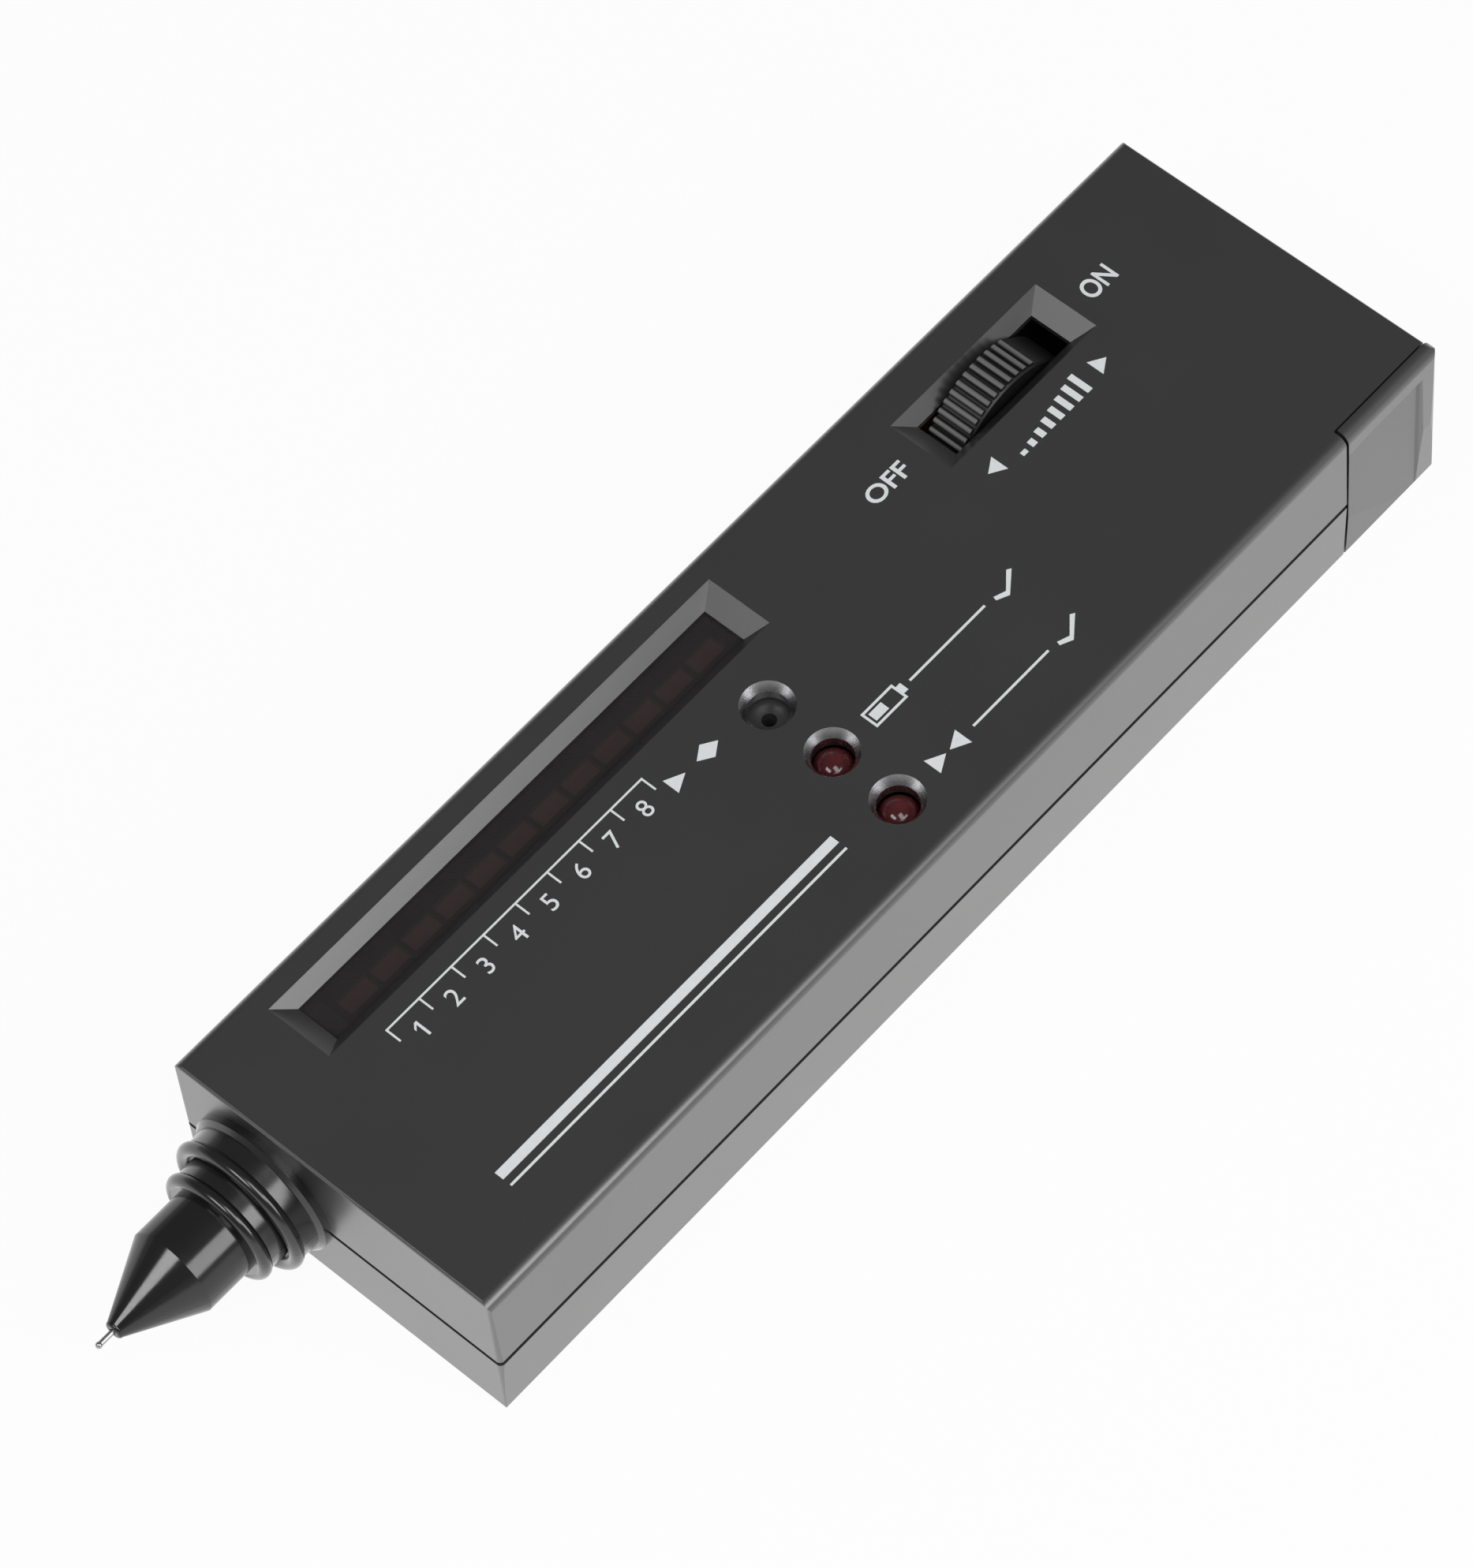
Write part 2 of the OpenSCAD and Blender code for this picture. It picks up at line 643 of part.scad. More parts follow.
module lower_case() {
    pilot_d = board_screw_d + 2 * run_clear;
    color([0.2, 0.2, 0.21]) difference() {
        union() {
            difference() {
                union() {
                    intersection() {
                        case_block();
                        inset_block(0, 0, seam_z);
                    }
                    inset_block(wall_t - lip_t, seam_z - over, seam_z + lip_h);
                }
                inset_block(wall_t, floor_t, top_z);
            }
            for (p = case_posts) translate([p[0], p[1], floor_t / 2])
                cylinder(d = post_low_d, h = post_z - floor_t / 2);
            for (p = board_posts) translate([p[0], p[1], floor_t / 2])
                cylinder(d = board_post_d, h = board_low - floor_t / 2);
            translate([bay_rib_x, bay_rib_y, floor_t / 2])
                cube([bay_rib_t, rear_y - wall_t / 2 - bay_rib_y, bay_rib_h + floor_t / 2]);
            translate([bay_rib_x, bay_rib_y, floor_t / 2])
                cube([right_x - wall_t / 2 - bay_rib_x, bay_rib_t, bay_rib_h + floor_t / 2]);
            for (y = ledge_rows) translate([left_x + wall_t / 2, y - ledge_t / 2, floor_t / 2])
                cube([pot_x1 - left_x - wall_t / 2, ledge_t, ledge_h + floor_t / 2]);
        }
        for (p = case_posts) translate([p[0], p[1], -over]) {
            cylinder(d = screw_d + 2 * free_clear, h = top_z);
            cylinder(d = screw_head_d + 2 * free_clear, h = well_depth + over);
        }
        for (p = board_posts) translate([p[0], p[1], board_low - board_screw_l + board_t])
            cylinder(d = pilot_d, h = board_screw_l + over);
        neck_hole();
        door_space(floor_t, top_z);
    }
}

// Pan-head screw standing on its head along +Z, with a cross recess under the head
module screw(d, head_d, head_t, l) {
    slot_w = d * 0.3;
    slot_l = head_d * 0.64;
    slot_h = head_t * 0.55;
    difference() {
        union() {
            translate([0, 0, -head_t]) cylinder(d = head_d, h = head_t);
            cylinder(d = d, h = l);
        }
        for (a = [0, 90]) rotate([0, 0, a])
            translate([-slot_l / 2, -slot_w / 2, -head_t - over]) cube([slot_l, slot_w, slot_h + over]);
    }
}

module case_screws() {
    color("silver") for (p = case_posts) translate([p[0], p[1], well_depth])
        screw(screw_d, screw_head_d, screw_head_t, screw_l);
}

module board_screws() {
    color("silver") for (p = board_posts) translate([p[0], p[1], board_z]) rotate([180, 0, 0])
        screw(board_screw_d, board_screw_head, board_screw_t, board_screw_l - over / 2);
}

module display_window() {
    w = recess_w - 2 * bevel_side + 2 * filter_lap;
    l = window_len - 2 * bevel_end + 2 * filter_lap;
    color([0.22, 0.03, 0.02, 0.6]) translate([window_x - w / 2, window_y - l / 2, filter_z])
        cube([w, l, filter_t]);
}

module lamp_holder() {
    color("black") difference() {
        translate([window_x - holder_w / 2, bar_y - bar_lamp_l / 2 - holder_end, board_z])
            cube([holder_w, holder_l, filter_z - board_z]);
        for (i = [0:bar_count - 1]) translate([
            window_x - bar_lamp_w / 2 - seat_clear,
            bar_y + i * bar_pitch - bar_lamp_l / 2 - seat_clear, board_z - over
        ]) cube([bar_lamp_w + 2 * seat_clear, bar_lamp_l + 2 * seat_clear, top_z]);
    }
}

module bar_lamps() {
    color("firebrick") for (i = [0:bar_count - 1])
        translate([window_x - bar_lamp_w / 2, bar_y + i * bar_pitch - bar_lamp_l / 2, board_z])
            cube([bar_lamp_w, bar_lamp_l, bar_lamp_h]);
}

module main_board() {
    color("darkgreen") difference() {
        translate([board_x0, board_y, board_low]) cube([board_x1 - board_x0, board_l, board_t]);
        for (p = board_posts) translate([p[0], p[1], board_low - over])
            cylinder(d = board_screw_d + 2 * free_clear, h = board_t + 2 * over);
    }
}

// Domed lamp on two legs that stand on the main board
module round_lamp(x) {
    rim_t = 1;
    crown = top_z - lamp_sink;
    flange_z = crown - lamp_h;
    leg = 0.5;
    leg_x = 1.27;
    color("red") translate([x, lamp_y, 0]) {
        translate([0, 0, flange_z]) cylinder(d = lamp_flange_d, h = rim_t);
        translate([0, 0, flange_z]) cylinder(d = lamp_d, h = lamp_h - lamp_d / 2);
        translate([0, 0, crown - lamp_d / 2]) intersection() {
            sphere(d = lamp_d);
            cylinder(d = 2 * lamp_d, h = lamp_d);
        }
        for (s = [-1, 1]) translate([s * leg_x - leg / 2, -leg / 2, board_z])
            cube([leg, leg, flange_z - board_z + rim_t / 2]);
    }
}

module battery_lamp() {
    round_lamp(battery_lamp_x);
}

module ready_lamp() {
    round_lamp(ready_lamp_x);
}

module buzzer() {
    mouth_r = buzzer_r / 7;
    color("black") translate([sound_x, lamp_y, board_z]) difference() {
        cylinder(r = buzzer_r, h = buzzer_h);
        translate([0, 0, buzzer_h / 2]) cylinder(r = mouth_r, h = buzzer_h);
    }
}

// Dual in-line chip lying along Y with its legs on the main board
module chip(x, y, pairs) {
    l = pairs * chip_pitch;
    lift = 0.6;
    leg_w = 0.5;
    leg_t = 0.3;
    notch_r = 0.9;
    root = chip_w / 2 - leg_t;
    span = chip_span;
    shoulder = lift + chip_t / 2;
    translate([x, y, board_z]) {
        difference() {
            translate([-chip_w / 2, -l / 2, lift]) cube([chip_w, l, chip_t]);
            translate([0, -l / 2, lift + chip_t / 2]) cylinder(r = notch_r, h = chip_t);
        }
        for (i = [0:pairs - 1], s = [0, 1]) mirror([s, 0, 0])
            along_y((i - (pairs - 1) / 2) * chip_pitch - leg_w / 2, leg_w) polygon([
                [root, shoulder - leg_t / 2], [span - leg_t, shoulder - leg_t / 2], [span - leg_t, 0],
                [span, 0], [span, shoulder + leg_t / 2], [root, shoulder + leg_t / 2]
            ]);
    }
}

module driver_chips() {
    color([0.12, 0.12, 0.12]) for (y = driver_rows) chip(chip_x, y, driver_pairs);
}

module amplifier_chip() {
    color([0.12, 0.12, 0.12]) chip(amplifier_place[0], amplifier_place[1], amplifier_pairs);
}

module capacitors() {
    groove = 0.3;
    groove_z = 1.4;
    color("navy") for (p = cap_places) translate([p[0], p[1], board_z]) rotate_extrude() difference() {
        square([cap_d / 2, cap_h]);
        translate([cap_d / 2, groove_z]) circle(groove);
        translate([cap_d / 2, cap_h]) circle(groove);
    }
}

module trimmers() {
    dial = 1;
    slot_w = 0.6;
    slot_l = trimmer_w * 0.4;
    color("royalblue") for (p = trimmer_places) translate([p[0], p[1], board_z]) difference() {
        union() {
            translate([-trimmer_w / 2, -trimmer_w / 2, 0]) cube([trimmer_w, trimmer_w, trimmer_h]);
            translate([0, 0, trimmer_h - over / 2]) cylinder(d = trimmer_w * 0.6, h = dial);
        }
        translate([-slot_l / 2, -slot_w / 2, trimmer_h]) cube([slot_l, slot_w, dial]);
    }
}

module resistors() {
    lift = resistor_d / 2 + 0.3;
    leg = 0.5;
    reach = resistor_span / 2;
    color("tan") for (p = resistor_places) translate([p[0], p[1], board_z]) {
        translate([0, resistor_l / 2, lift]) rotate([90, 0, 0]) cylinder(d = resistor_d, h = resistor_l);
        translate([-leg / 2, -reach, lift - leg / 2]) cube([leg, 2 * reach, leg]);
        for (s = [-1, 1]) translate([-leg / 2, s * (reach - leg / 2) - leg / 2, 0]) cube([leg, leg, lift]);
    }
}

module probe_sleeve() {
    neck_r = neck_d / 2;
    rear_r = rear_lip_d / 2 - lip_r;
    front_r = front_lip_d / 2 - lip_r;
    rear_band = rear_lip_d / 2 - lip_proud;
    front_band = front_lip_d / 2 - lip_proud;
    taper = 0.12;
    bevel = 0.5;
    bore_r = shank_d / 2 + run_clear;
    color([0.05, 0.05, 0.05]) turned_on_probe() difference() {
        union() {
            polygon([
                [0, shank_back], [flange_d / 2, shank_back], [flange_d / 2, -wall_t - seat_clear],
                [neck_r, -wall_t - seat_clear], [neck_r, 0], [collar_d / 2, 0], [collar_d / 2, collar_t],
                [collar_d / 2 - bevel, collar_t + bevel], [rear_band + taper, collar_t + bevel],
                [rear_band, rear_lip_u], [front_band + taper, rear_lip_u], [front_band, front_lip_u],
                [front_r, front_lip_u], [front_r, sleeve_end], [0, sleeve_end]
            ]);
            translate([rear_r, rear_lip_u]) circle(lip_r);
            translate([front_r, front_lip_u]) circle(lip_r);
        }
        translate([-over, shank_back - over]) square([bore_r + over, sleeve_end - shank_back + 2 * over]);
    }
}

module nose_cone() {
    end_r = cone_d / 2;
    color([0.04, 0.04, 0.04]) turned_on_probe() difference() {
        union() {
            polygon([
                [0, shank_back], [shank_d / 2, shank_back], [shank_d / 2, sleeve_end],
                [nose_d / 2, sleeve_end], [nose_d / 2, nose_end], [end_r, cone_end - cone_round],
                [end_r - cone_round, cone_end], [0, cone_end]
            ]);
            translate([end_r - cone_round, cone_end - cone_round]) circle(cone_round);
        }
        translate([-over, shank_back - over]) square([barrel_d / 2 + over, barrel_end - shank_back + over]);
        translate([-over, 0]) square([stem_d / 2 + seat_clear + over, stem_end]);
        translate([-over, 0]) square([tip_d / 2 + seat_clear + over, cone_end + over]);
    }
}

module probe_plug() {
    color("ivory") difference() {
        probe_bar(barrel_d - 2 * run_clear, shank_back, plug_front);
        probe_bar(rod_d + 2 * seat_clear, shank_back - over, plug_front + over);
    }
}

module probe_tip() {
    color("silver") turned_on_probe() {
        translate([0, stem_end - over]) square([tip_d / 2, tip_end - ball_d / 2 - stem_end + over]);
        intersection() {
            translate([0, tip_end - ball_d / 2]) circle(d = ball_d);
            translate([0, tip_end - ball_d]) square(ball_d);
        }
    }
}

module tip_plunger() {
    color("goldenrod") turned_on_probe() difference() {
        union() {
            translate([0, rod_back]) square([rod_d / 2, guide_back - rod_back + over]);
            translate([0, guide_back]) square([barrel_d / 2 - seat_clear, guide_l]);
            translate([0, guide_front - over])
                square([stem_d / 2, stem_end - seat_clear - guide_front + over]);
        }
        translate([-over, stem_end - over]) square([tip_d / 2 + over, 2 * over]);
    }
}

module heater_bead() {
    color("white") probe_bar(bead_d, rod_back - bead_l, rod_back);
}

// Direction of one unit
function unit(v) = v / norm(v);

// Direction of a path at one of its points
function heading(path, i) = unit(path[min(i + 1, len(path) - 1)] - path[max(i - 1, 0)]);

// Ring of points round one point of a path
function ring(c, t, side, r, n) = let (a = unit(cross(t, side)), b = cross(t, a))
    [for (k = [0:n - 1]) c + r * (cos(360 * k / n) * a + sin(360 * k / n) * b)];

// Smooth path through a list of points, with some steps between each two
function smooth(p, steps) = let (n = len(p)) concat([for (i = [0:n - 2], j = [0:steps - 1])
    let (a = p[max(i - 1, 0)], b = p[i], c = p[i + 1], d = p[min(i + 2, n - 1)], t = j / steps)
    0.5 * (2 * b + (c - a) * t + (2 * a - 5 * b + 4 * c - d) * t * t + (3 * b - a - 3 * c + d) * t * t * t)
], [p[n - 1]]);

// Closed round tube along a path
module tube(path, d, side, sides) {
    m = len(path);
    points = [for (i = [0:m - 1]) each ring(path[i], heading(path, i), side, d / 2, sides)];
    walls = [for (i = [0:m - 2], k = [0:sides - 1]) let (q = (k + 1) % sides, a = i * sides, b = a + sides)
        each [[a + k, a + q, b + q], [a + k, b + q, b + k]]];
    first = [for (k = [1:sides - 2]) [0, k + 1, k]];
    last = [for (k = [1:sides - 2]) [0, k, k + 1] + [1, 1, 1] * (m - 1) * sides];
    polyhedron(points, concat(walls, first, last));
}

// Lead that leaves a face square along Y, passes some points and lands upright on the main board
module lead(start, way, points, x, y) {
    land = [x, y, board_z];
    bend = smooth(concat([start + [0, way * lead_stub, 0]], points, [land + [0, 0, lead_foot]]), 3);
    tube(concat([start], bend, [land]), lead_d, [1, 0, 0], 8);
}

// Points of the spring's helix from the plug to the plunger's guide
spring_u0 = plug_front + spring_wire / 2 + spring_gap;
spring_u1 = guide_back - spring_wire / 2 - spring_gap;
spring_steps = 16;
spring_path = [for (i = [0:spring_turns * spring_steps]) let (a = 360 * i / spring_steps)
    [
        probe_x + spring_d / 2 * cos(a),
        front_y - spring_u0 - (spring_u1 - spring_u0) * i / (spring_turns * spring_steps),
        probe_z + spring_d / 2 * sin(a)
    ]];
spring_least_gap = min([for (i = [0:len(spring_path) - 1 - spring_steps])
    norm(spring_path[i + spring_steps] - spring_path[i])]) - spring_wire;
echo(spring_least_gap = spring_least_gap);

module tip_spring() {
    color("silver") tube(spring_path, spring_wire, [0, 1, 0], 6);
}

module probe_leads() {
    y = front_y - shank_back;
    out = (rod_d + barrel_d) / 4 * sin(45);
    x = probe_x + out;
    mid_y = (y + board_y) / 2;
    step = 2 * lead_d;
    color("gold") {
        lead(
            [x, y, probe_z + out], 1,
            [[x, mid_y, probe_z + out + lead_d], [x, board_y + lead_land / 2, board_z + lead_arch]],
            x, board_y + lead_land
        );
        lead(
            [x, y, probe_z - out], 1,
            [[x + step, mid_y, probe_z], [x + 2 * step, board_y + lead_land / 2, board_z + lead_arch]],
            x + 2 * step, board_y + lead_land
        );
    }
}

// Ribbed thumbwheel on the X axis, its ribs running forward from just behind the crest
module volume_wheel() {
    core_r = wheel_r - rib_h;
    sunk_r = core_r - 0.3;
    crest_r = wheel_r - rib_w / 2;
    socket_x = wheel_x0 + socket_depth;
    color([0.07, 0.07, 0.07]) difference() {
        translate([wheel_x0, slot_y, wheel_z]) rotate([0, 90, 0]) {
            rotate_extrude() polygon([
                [0, 0], [core_r - wheel_chamfer, 0], [core_r, wheel_chamfer],
                [core_r, wheel_t - wheel_chamfer], [core_r - wheel_chamfer, wheel_t], [0, wheel_t]
            ]);
            translate([0, 0, (wheel_t - rib_l) / 2]) linear_extrude(rib_l)
                for (i = [0:rib_count - 1]) rotate(180 - rib_start + i * rib_step) {
                    translate([crest_r, 0]) circle(d = rib_w);
                    translate([sunk_r, -rib_w / 2]) square([crest_r - sunk_r, rib_w]);
                }
        }
        wheel_bar(shaft_d + 2 * run_clear, wheel_x0 - over, socket_x);
        wheel_bar(wheel_screw_d + 2 * run_clear, wheel_x0, wheel_x1 + over);
        wheel_bar(wheel_screw_head + 2 * free_clear, wheel_x1 - wheel_screw_t - seat_clear, wheel_x1 + over);
    }
}

module wheel_shaft() {
    socket_x = wheel_x0 + socket_depth;
    color("gray") difference() {
        wheel_bar(shaft_d, pot_x0 + shaft_end + seat_clear, socket_x);
        wheel_bar(wheel_screw_d + 2 * run_clear, thread_x, socket_x + over);
    }
}

module wheel_screw() {
    head_x = wheel_x1 - wheel_screw_t - seat_clear;
    slot_w = 0.6;
    color("silver") difference() {
        union() {
            wheel_bar(wheel_screw_d, thread_x + free_clear, head_x + over / 4);
            wheel_bar(wheel_screw_head, head_x, head_x + wheel_screw_t);
        }
        translate([head_x + wheel_screw_t / 2, slot_y - wheel_screw_head, wheel_z - slot_w / 2])
            cube([over, 2 * wheel_screw_head, slot_w]);
    }
}

module pot_body() {
    color("saddlebrown") difference() {
        along_x(pot_x0, pot_t) {
            translate([slot_y, wheel_z]) circle(pot_r);
            translate([slot_y - pot_r, pot_low_z]) square([2 * pot_r, wheel_z - pot_low_z]);
        }
        wheel_bar(shaft_d + 2 * run_clear, pot_x0 + shaft_end, pot_x1 + over);
    }
}

module pot_terminals() {
    w = 1;
    t = 0.5;
    first_y = slot_y - (pot_pins - 1) / 2 * pot_pin_pitch;
    color("silver") for (i = [0:pot_pins - 1])
        translate([(pot_x0 + pot_x1 - t) / 2, first_y + i * pot_pin_pitch - w / 2, pot_board_top])
            cube([t, w, pot_low_z - pot_board_top]);
}

module pot_board() {
    color("peru") translate([inner_left + free_clear, pot_board_y, pot_board_z])
        cube([pot_x1 - inner_left - free_clear, pot_board_l, pot_board_t]);
}

module pot_leads() {
    gap = pot_board_y - board_rear;
    z = pot_board_z + pot_board_t / 2;
    step = (pot_t - lead_d) / 2;
    color("slategray") for (i = [0:2]) let (x = pot_x0 + lead_d / 2 + i * step) lead(
        [x, pot_board_y, z], -1,
        [[x, pot_board_y - 0.4 * gap, z + lead_foot], [x, board_rear, board_z + lead_arch]],
        x, board_rear - lead_land
    );
}

module battery() {
    rim = batt_rim;
    low = floor_t;
    high = floor_t + batt_t;
    color([0.3, 0.32, 0.36]) difference() {
        along_y(batt_y, batt_l) edged(batt_x0, low, batt_x1, high, batt_r, batt_r);
        along_y(batt_y - over, over + rim)
            edged(batt_x0 + rim, low + rim, batt_x1 - rim, high - rim, batt_r - rim, batt_r - rim);
    }
}

// Round bar along Y on the middle line of the battery
module stud(s, d, y0, y1) {
    translate([batt_x + s * stud_pitch / 2, y1, batt_z]) rotate([90, 0, 0]) cylinder(d = d, h = y1 - y0);
}

module battery_terminals() {
    foot_t = 0.9;
    root_y = batt_y + batt_rim;
    color("silver") {
        stud(1, stud_d, stud_y, root_y);
        stud(1, crown_d, root_y - foot_t, root_y);
        difference() {
            stud(-1, crown_d, stud_y, root_y);
            stud(-1, stud_d + 2 * free_clear, stud_y - over, batt_y - free_clear);
        }
    }
}

module battery_snap() {
    ring_end = stud_y + 1.4;
    half_w = snap_w / 2;
    half_h = snap_h / 2;
    r = 2;
    color([0.1, 0.1, 0.1]) {
        difference() {
            union() {
                along_y(snap_face - snap_t, snap_t)
                    edged(batt_x - half_w, batt_z - half_h, batt_x + half_w, batt_z + half_h, r, r);
                stud(1, crown_d, snap_face - over, ring_end);
            }
            stud(1, stud_d + 2 * free_clear, snap_face, ring_end + over);
        }
        stud(-1, stud_d, snap_face - over, ring_end);
    }
}

// Lead from the front of the snap plate to the rear edge of the main board
module snap_lead(x) {
    y = snap_face - snap_t;
    z = batt_z + lead_foot;
    lead(
        [x, y, z], -1,
        [[x, (y + board_rear) / 2, z + lead_d], [x, board_rear, board_z + lead_arch]],
        x, board_rear - lead_land
    );
}

module snap_lead_red() {
    color("red") snap_lead(batt_x - 2 * lead_d);
}

module snap_lead_black() {
    color("black") snap_lead(batt_x + 2 * lead_d);
}

module battery_pad() {
    pad_l = 0.65 * batt_l;
    pad_w = 0.6 * batt_w;
    color("dimgray") translate([batt_x - pad_w / 2, batt_y + (batt_l - pad_l) / 2, roof_z - pad_t])
        cube([pad_w, pad_l, pad_t]);
}

// Thumb panel that deepens to the rear, open towards the front and the underside
module thumb_panel() {
    z1 = top_z - panel_top;
    y1 = door_rear - panel_rear;
    skin = right_x - panel_depth;
    rise = panel_slope * (panel_depth + over) / panel_depth;
    intersection() {
        along_y(door_y - over, door_len + over) polygon([
            [skin, -over], [skin, z1 - panel_slope], [right_x + over, z1 - panel_slope + rise],
            [right_x + over, -over]
        ]);
        translate([0, 0, -over]) linear_extrude(top_z + over) polygon([
            [right_x - panel_lead, door_y - over], [right_x - panel_lead, door_y], [skin, y1 - panel_slope],
            [right_x + over, y1 - panel_slope + rise], [right_x + over, door_y - over]
        ]);
    }
}

module battery_door() {
    l = door_rear - door_y;
    tongue_x = inner_right - seat_clear - tongue_t;
    tongue_z = (case_h - tongue_h) / 2;
    root_l = 4;
    end_h = roof_z - floor_t - 2 * seat_clear;
    color([0.21, 0.21, 0.22]) {
        difference() {
            intersection() {
                union() {
                    translate([door_x, door_y, 0]) cube([door_t, l, top_z]);
                    translate([door_left, door_end_y, floor_t + seat_clear])
                        cube([right_x - door_left, door_rear - door_end_y, end_h]);
                }
                along_y(door_y, l) case_profile(bottom_edge_r, door_top_r);
                along_x(left_x, case_w) edged(front_y, 0, door_rear, top_z, bottom_edge_r, door_top_r);
                linear_extrude(top_z) edged(left_x, front_y, right_x, door_rear, corner_r, door_corner_r);
            }
            thumb_panel();
        }
        translate([tongue_x, door_y - tongue_l, tongue_z]) cube([tongue_t, tongue_l + root_l, tongue_h]);
        translate([tongue_x, door_y + door_gap, tongue_z])
            cube([door_x + over / 2 - tongue_x, root_l - door_gap, tongue_h]);
    }
}

upper_case();
lower_case();
case_screws();
display_window();
lamp_holder();
bar_lamps();
main_board();
board_screws();
battery_lamp();
ready_lamp();
buzzer();
driver_chips();
amplifier_chip();
capacitors();
trimmers();
resistors();
probe_sleeve();
nose_cone();
probe_plug();
tip_spring();
probe_leads();
probe_tip();
tip_plunger();
heater_bead();
volume_wheel();
wheel_shaft();
wheel_screw();
pot_body();
pot_terminals();
pot_board();
pot_leads();
battery();
battery_terminals();
battery_snap();
snap_lead_red();
snap_lead_black();
battery_pad();
battery_door();
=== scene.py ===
import json
import math

import bmesh
import bpy
from mathutils import Matrix, Vector


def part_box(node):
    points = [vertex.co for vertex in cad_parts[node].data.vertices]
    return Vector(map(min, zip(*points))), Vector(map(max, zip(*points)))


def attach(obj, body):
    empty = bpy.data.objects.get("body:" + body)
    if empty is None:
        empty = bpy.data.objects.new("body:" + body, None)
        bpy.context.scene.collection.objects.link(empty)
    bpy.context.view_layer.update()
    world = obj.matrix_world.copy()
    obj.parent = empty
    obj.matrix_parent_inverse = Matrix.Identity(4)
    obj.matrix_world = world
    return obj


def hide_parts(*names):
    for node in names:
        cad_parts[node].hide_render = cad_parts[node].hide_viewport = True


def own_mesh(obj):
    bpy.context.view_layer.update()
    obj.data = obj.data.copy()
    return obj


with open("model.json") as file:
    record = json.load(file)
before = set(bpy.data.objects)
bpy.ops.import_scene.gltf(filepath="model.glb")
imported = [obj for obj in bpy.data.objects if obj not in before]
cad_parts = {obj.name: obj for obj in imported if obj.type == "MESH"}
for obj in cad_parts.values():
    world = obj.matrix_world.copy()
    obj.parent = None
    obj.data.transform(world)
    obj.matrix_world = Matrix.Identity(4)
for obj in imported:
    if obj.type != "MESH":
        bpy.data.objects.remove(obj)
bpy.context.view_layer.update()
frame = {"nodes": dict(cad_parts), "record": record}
scene = bpy.context.scene
nodes = frame["nodes"]
mm = 0.001
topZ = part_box("upper_case")[1].z  # the printed face
print("frame loaded,", len(nodes), "nodes")


class Wire:  # an output socket that takes part in Python sums
    def __init__(self, graph, socket):
        self.graph, self.socket = graph, socket

    def output(self, name):
        return Wire(self.graph, self.socket.node.outputs[name])

    def maths(self, operation, first, second):
        return self.graph.add("ShaderNodeMath", {"operation": operation}, {0: first, 1: second})

    def __add__(self, other):
        return self.maths("ADD", self, other)

    def __sub__(self, other):
        return self.maths("SUBTRACT", self, other)

    def __rsub__(self, other):
        return self.maths("SUBTRACT", other, self)

    def __mul__(self, other):
        return self.maths("MULTIPLY", self, other)

    def __truediv__(self, other):
        return self.maths("DIVIDE", self, other)

    def __rtruediv__(self, other):
        return self.maths("DIVIDE", other, self)

    __radd__ = __add__
    __rmul__ = __mul__


class Graph:  # a node tree, filled one node at a time
    def __init__(self, tree):
        self.tree = tree

    def add(self, kind, settings=None, sockets=None, out=0):
        node = self.tree.nodes.new(kind)
        for name, value in (settings or {}).items():
            setattr(node, name, value)
        for name, value in (sockets or {}).items():
            if isinstance(value, Wire):
                self.tree.links.new(value.socket, node.inputs[name])
            else:
                node.inputs[name].default_value = value
        return Wire(self, node.outputs[out]) if node.outputs else node

    def spot(self, stretch=(1, 1, 1)):
        place = self.add("ShaderNodeTexCoord", out="Object")
        return self.add("ShaderNodeMapping", {}, {"Vector": place, "Scale": stretch})

    def noise(self, spot, scale, fine=False):
        detail = 3.0 if fine else 2.0
        sockets = {"Vector": spot, "Scale": scale, "Detail": detail}
        return self.add("ShaderNodeTexNoise", {}, sockets, "Fac")

    def mix(self, factor, first, second):
        return self.add("ShaderNodeMix", {"data_type": "RGBA"}, {0: factor, 6: first, 7: second}, 2)

    def shades(self, factor, colour, drift):  # from a darker to a lighter shade of one colour
        dark, light = ((*(channel * (1 + side * drift) for channel in colour), 1) for side in (-1, 1))
        return self.mix(factor, dark, light)

    def bump(self, height, depth, strength):
        sockets = {"Height": height, "Distance": depth, "Strength": strength}
        return self.add("ShaderNodeBump", {}, sockets)

    def distance(self, spot, centre, ways):  # from the line through centre that ways leaves out
        place = self.add("ShaderNodeVectorMath", {"operation": "SUBTRACT"}, {0: spot, 1: centre})
        level = self.add("ShaderNodeVectorMath", {"operation": "MULTIPLY"}, {0: place, 1: ways})
        return self.add("ShaderNodeVectorMath", {"operation": "LENGTH"}, {0: level}, "Value")

    def grained(self, grain, look):  # roughness and bump that follow one grain
        return {
            "Roughness": look["rough"] + (grain - 0.5) * look["roughDrift"],
            "Normal": self.bump(grain, look["depth"], look["strength"]),
        }


def emptyGraph(owner):
    owner.use_nodes = True
    owner.node_tree.nodes.clear()
    return Graph(owner.node_tree)


def newMaterial(name, paint):
    material = bpy.data.materials.new(name)
    graph = emptyGraph(material)
    shader = graph.add("ShaderNodeBsdfPrincipled", {}, paint(graph))
    graph.add("ShaderNodeOutputMaterial", {}, {"Surface": shader})
    return material


def dress(material, *names):
    for name in names:
        nodes[name].data.materials.clear()
        nodes[name].data.materials.append(material)


def meshFrom(name, shape):
    mesh = bpy.data.meshes.new(name)
    shape.to_mesh(mesh)
    shape.free()
    return mesh


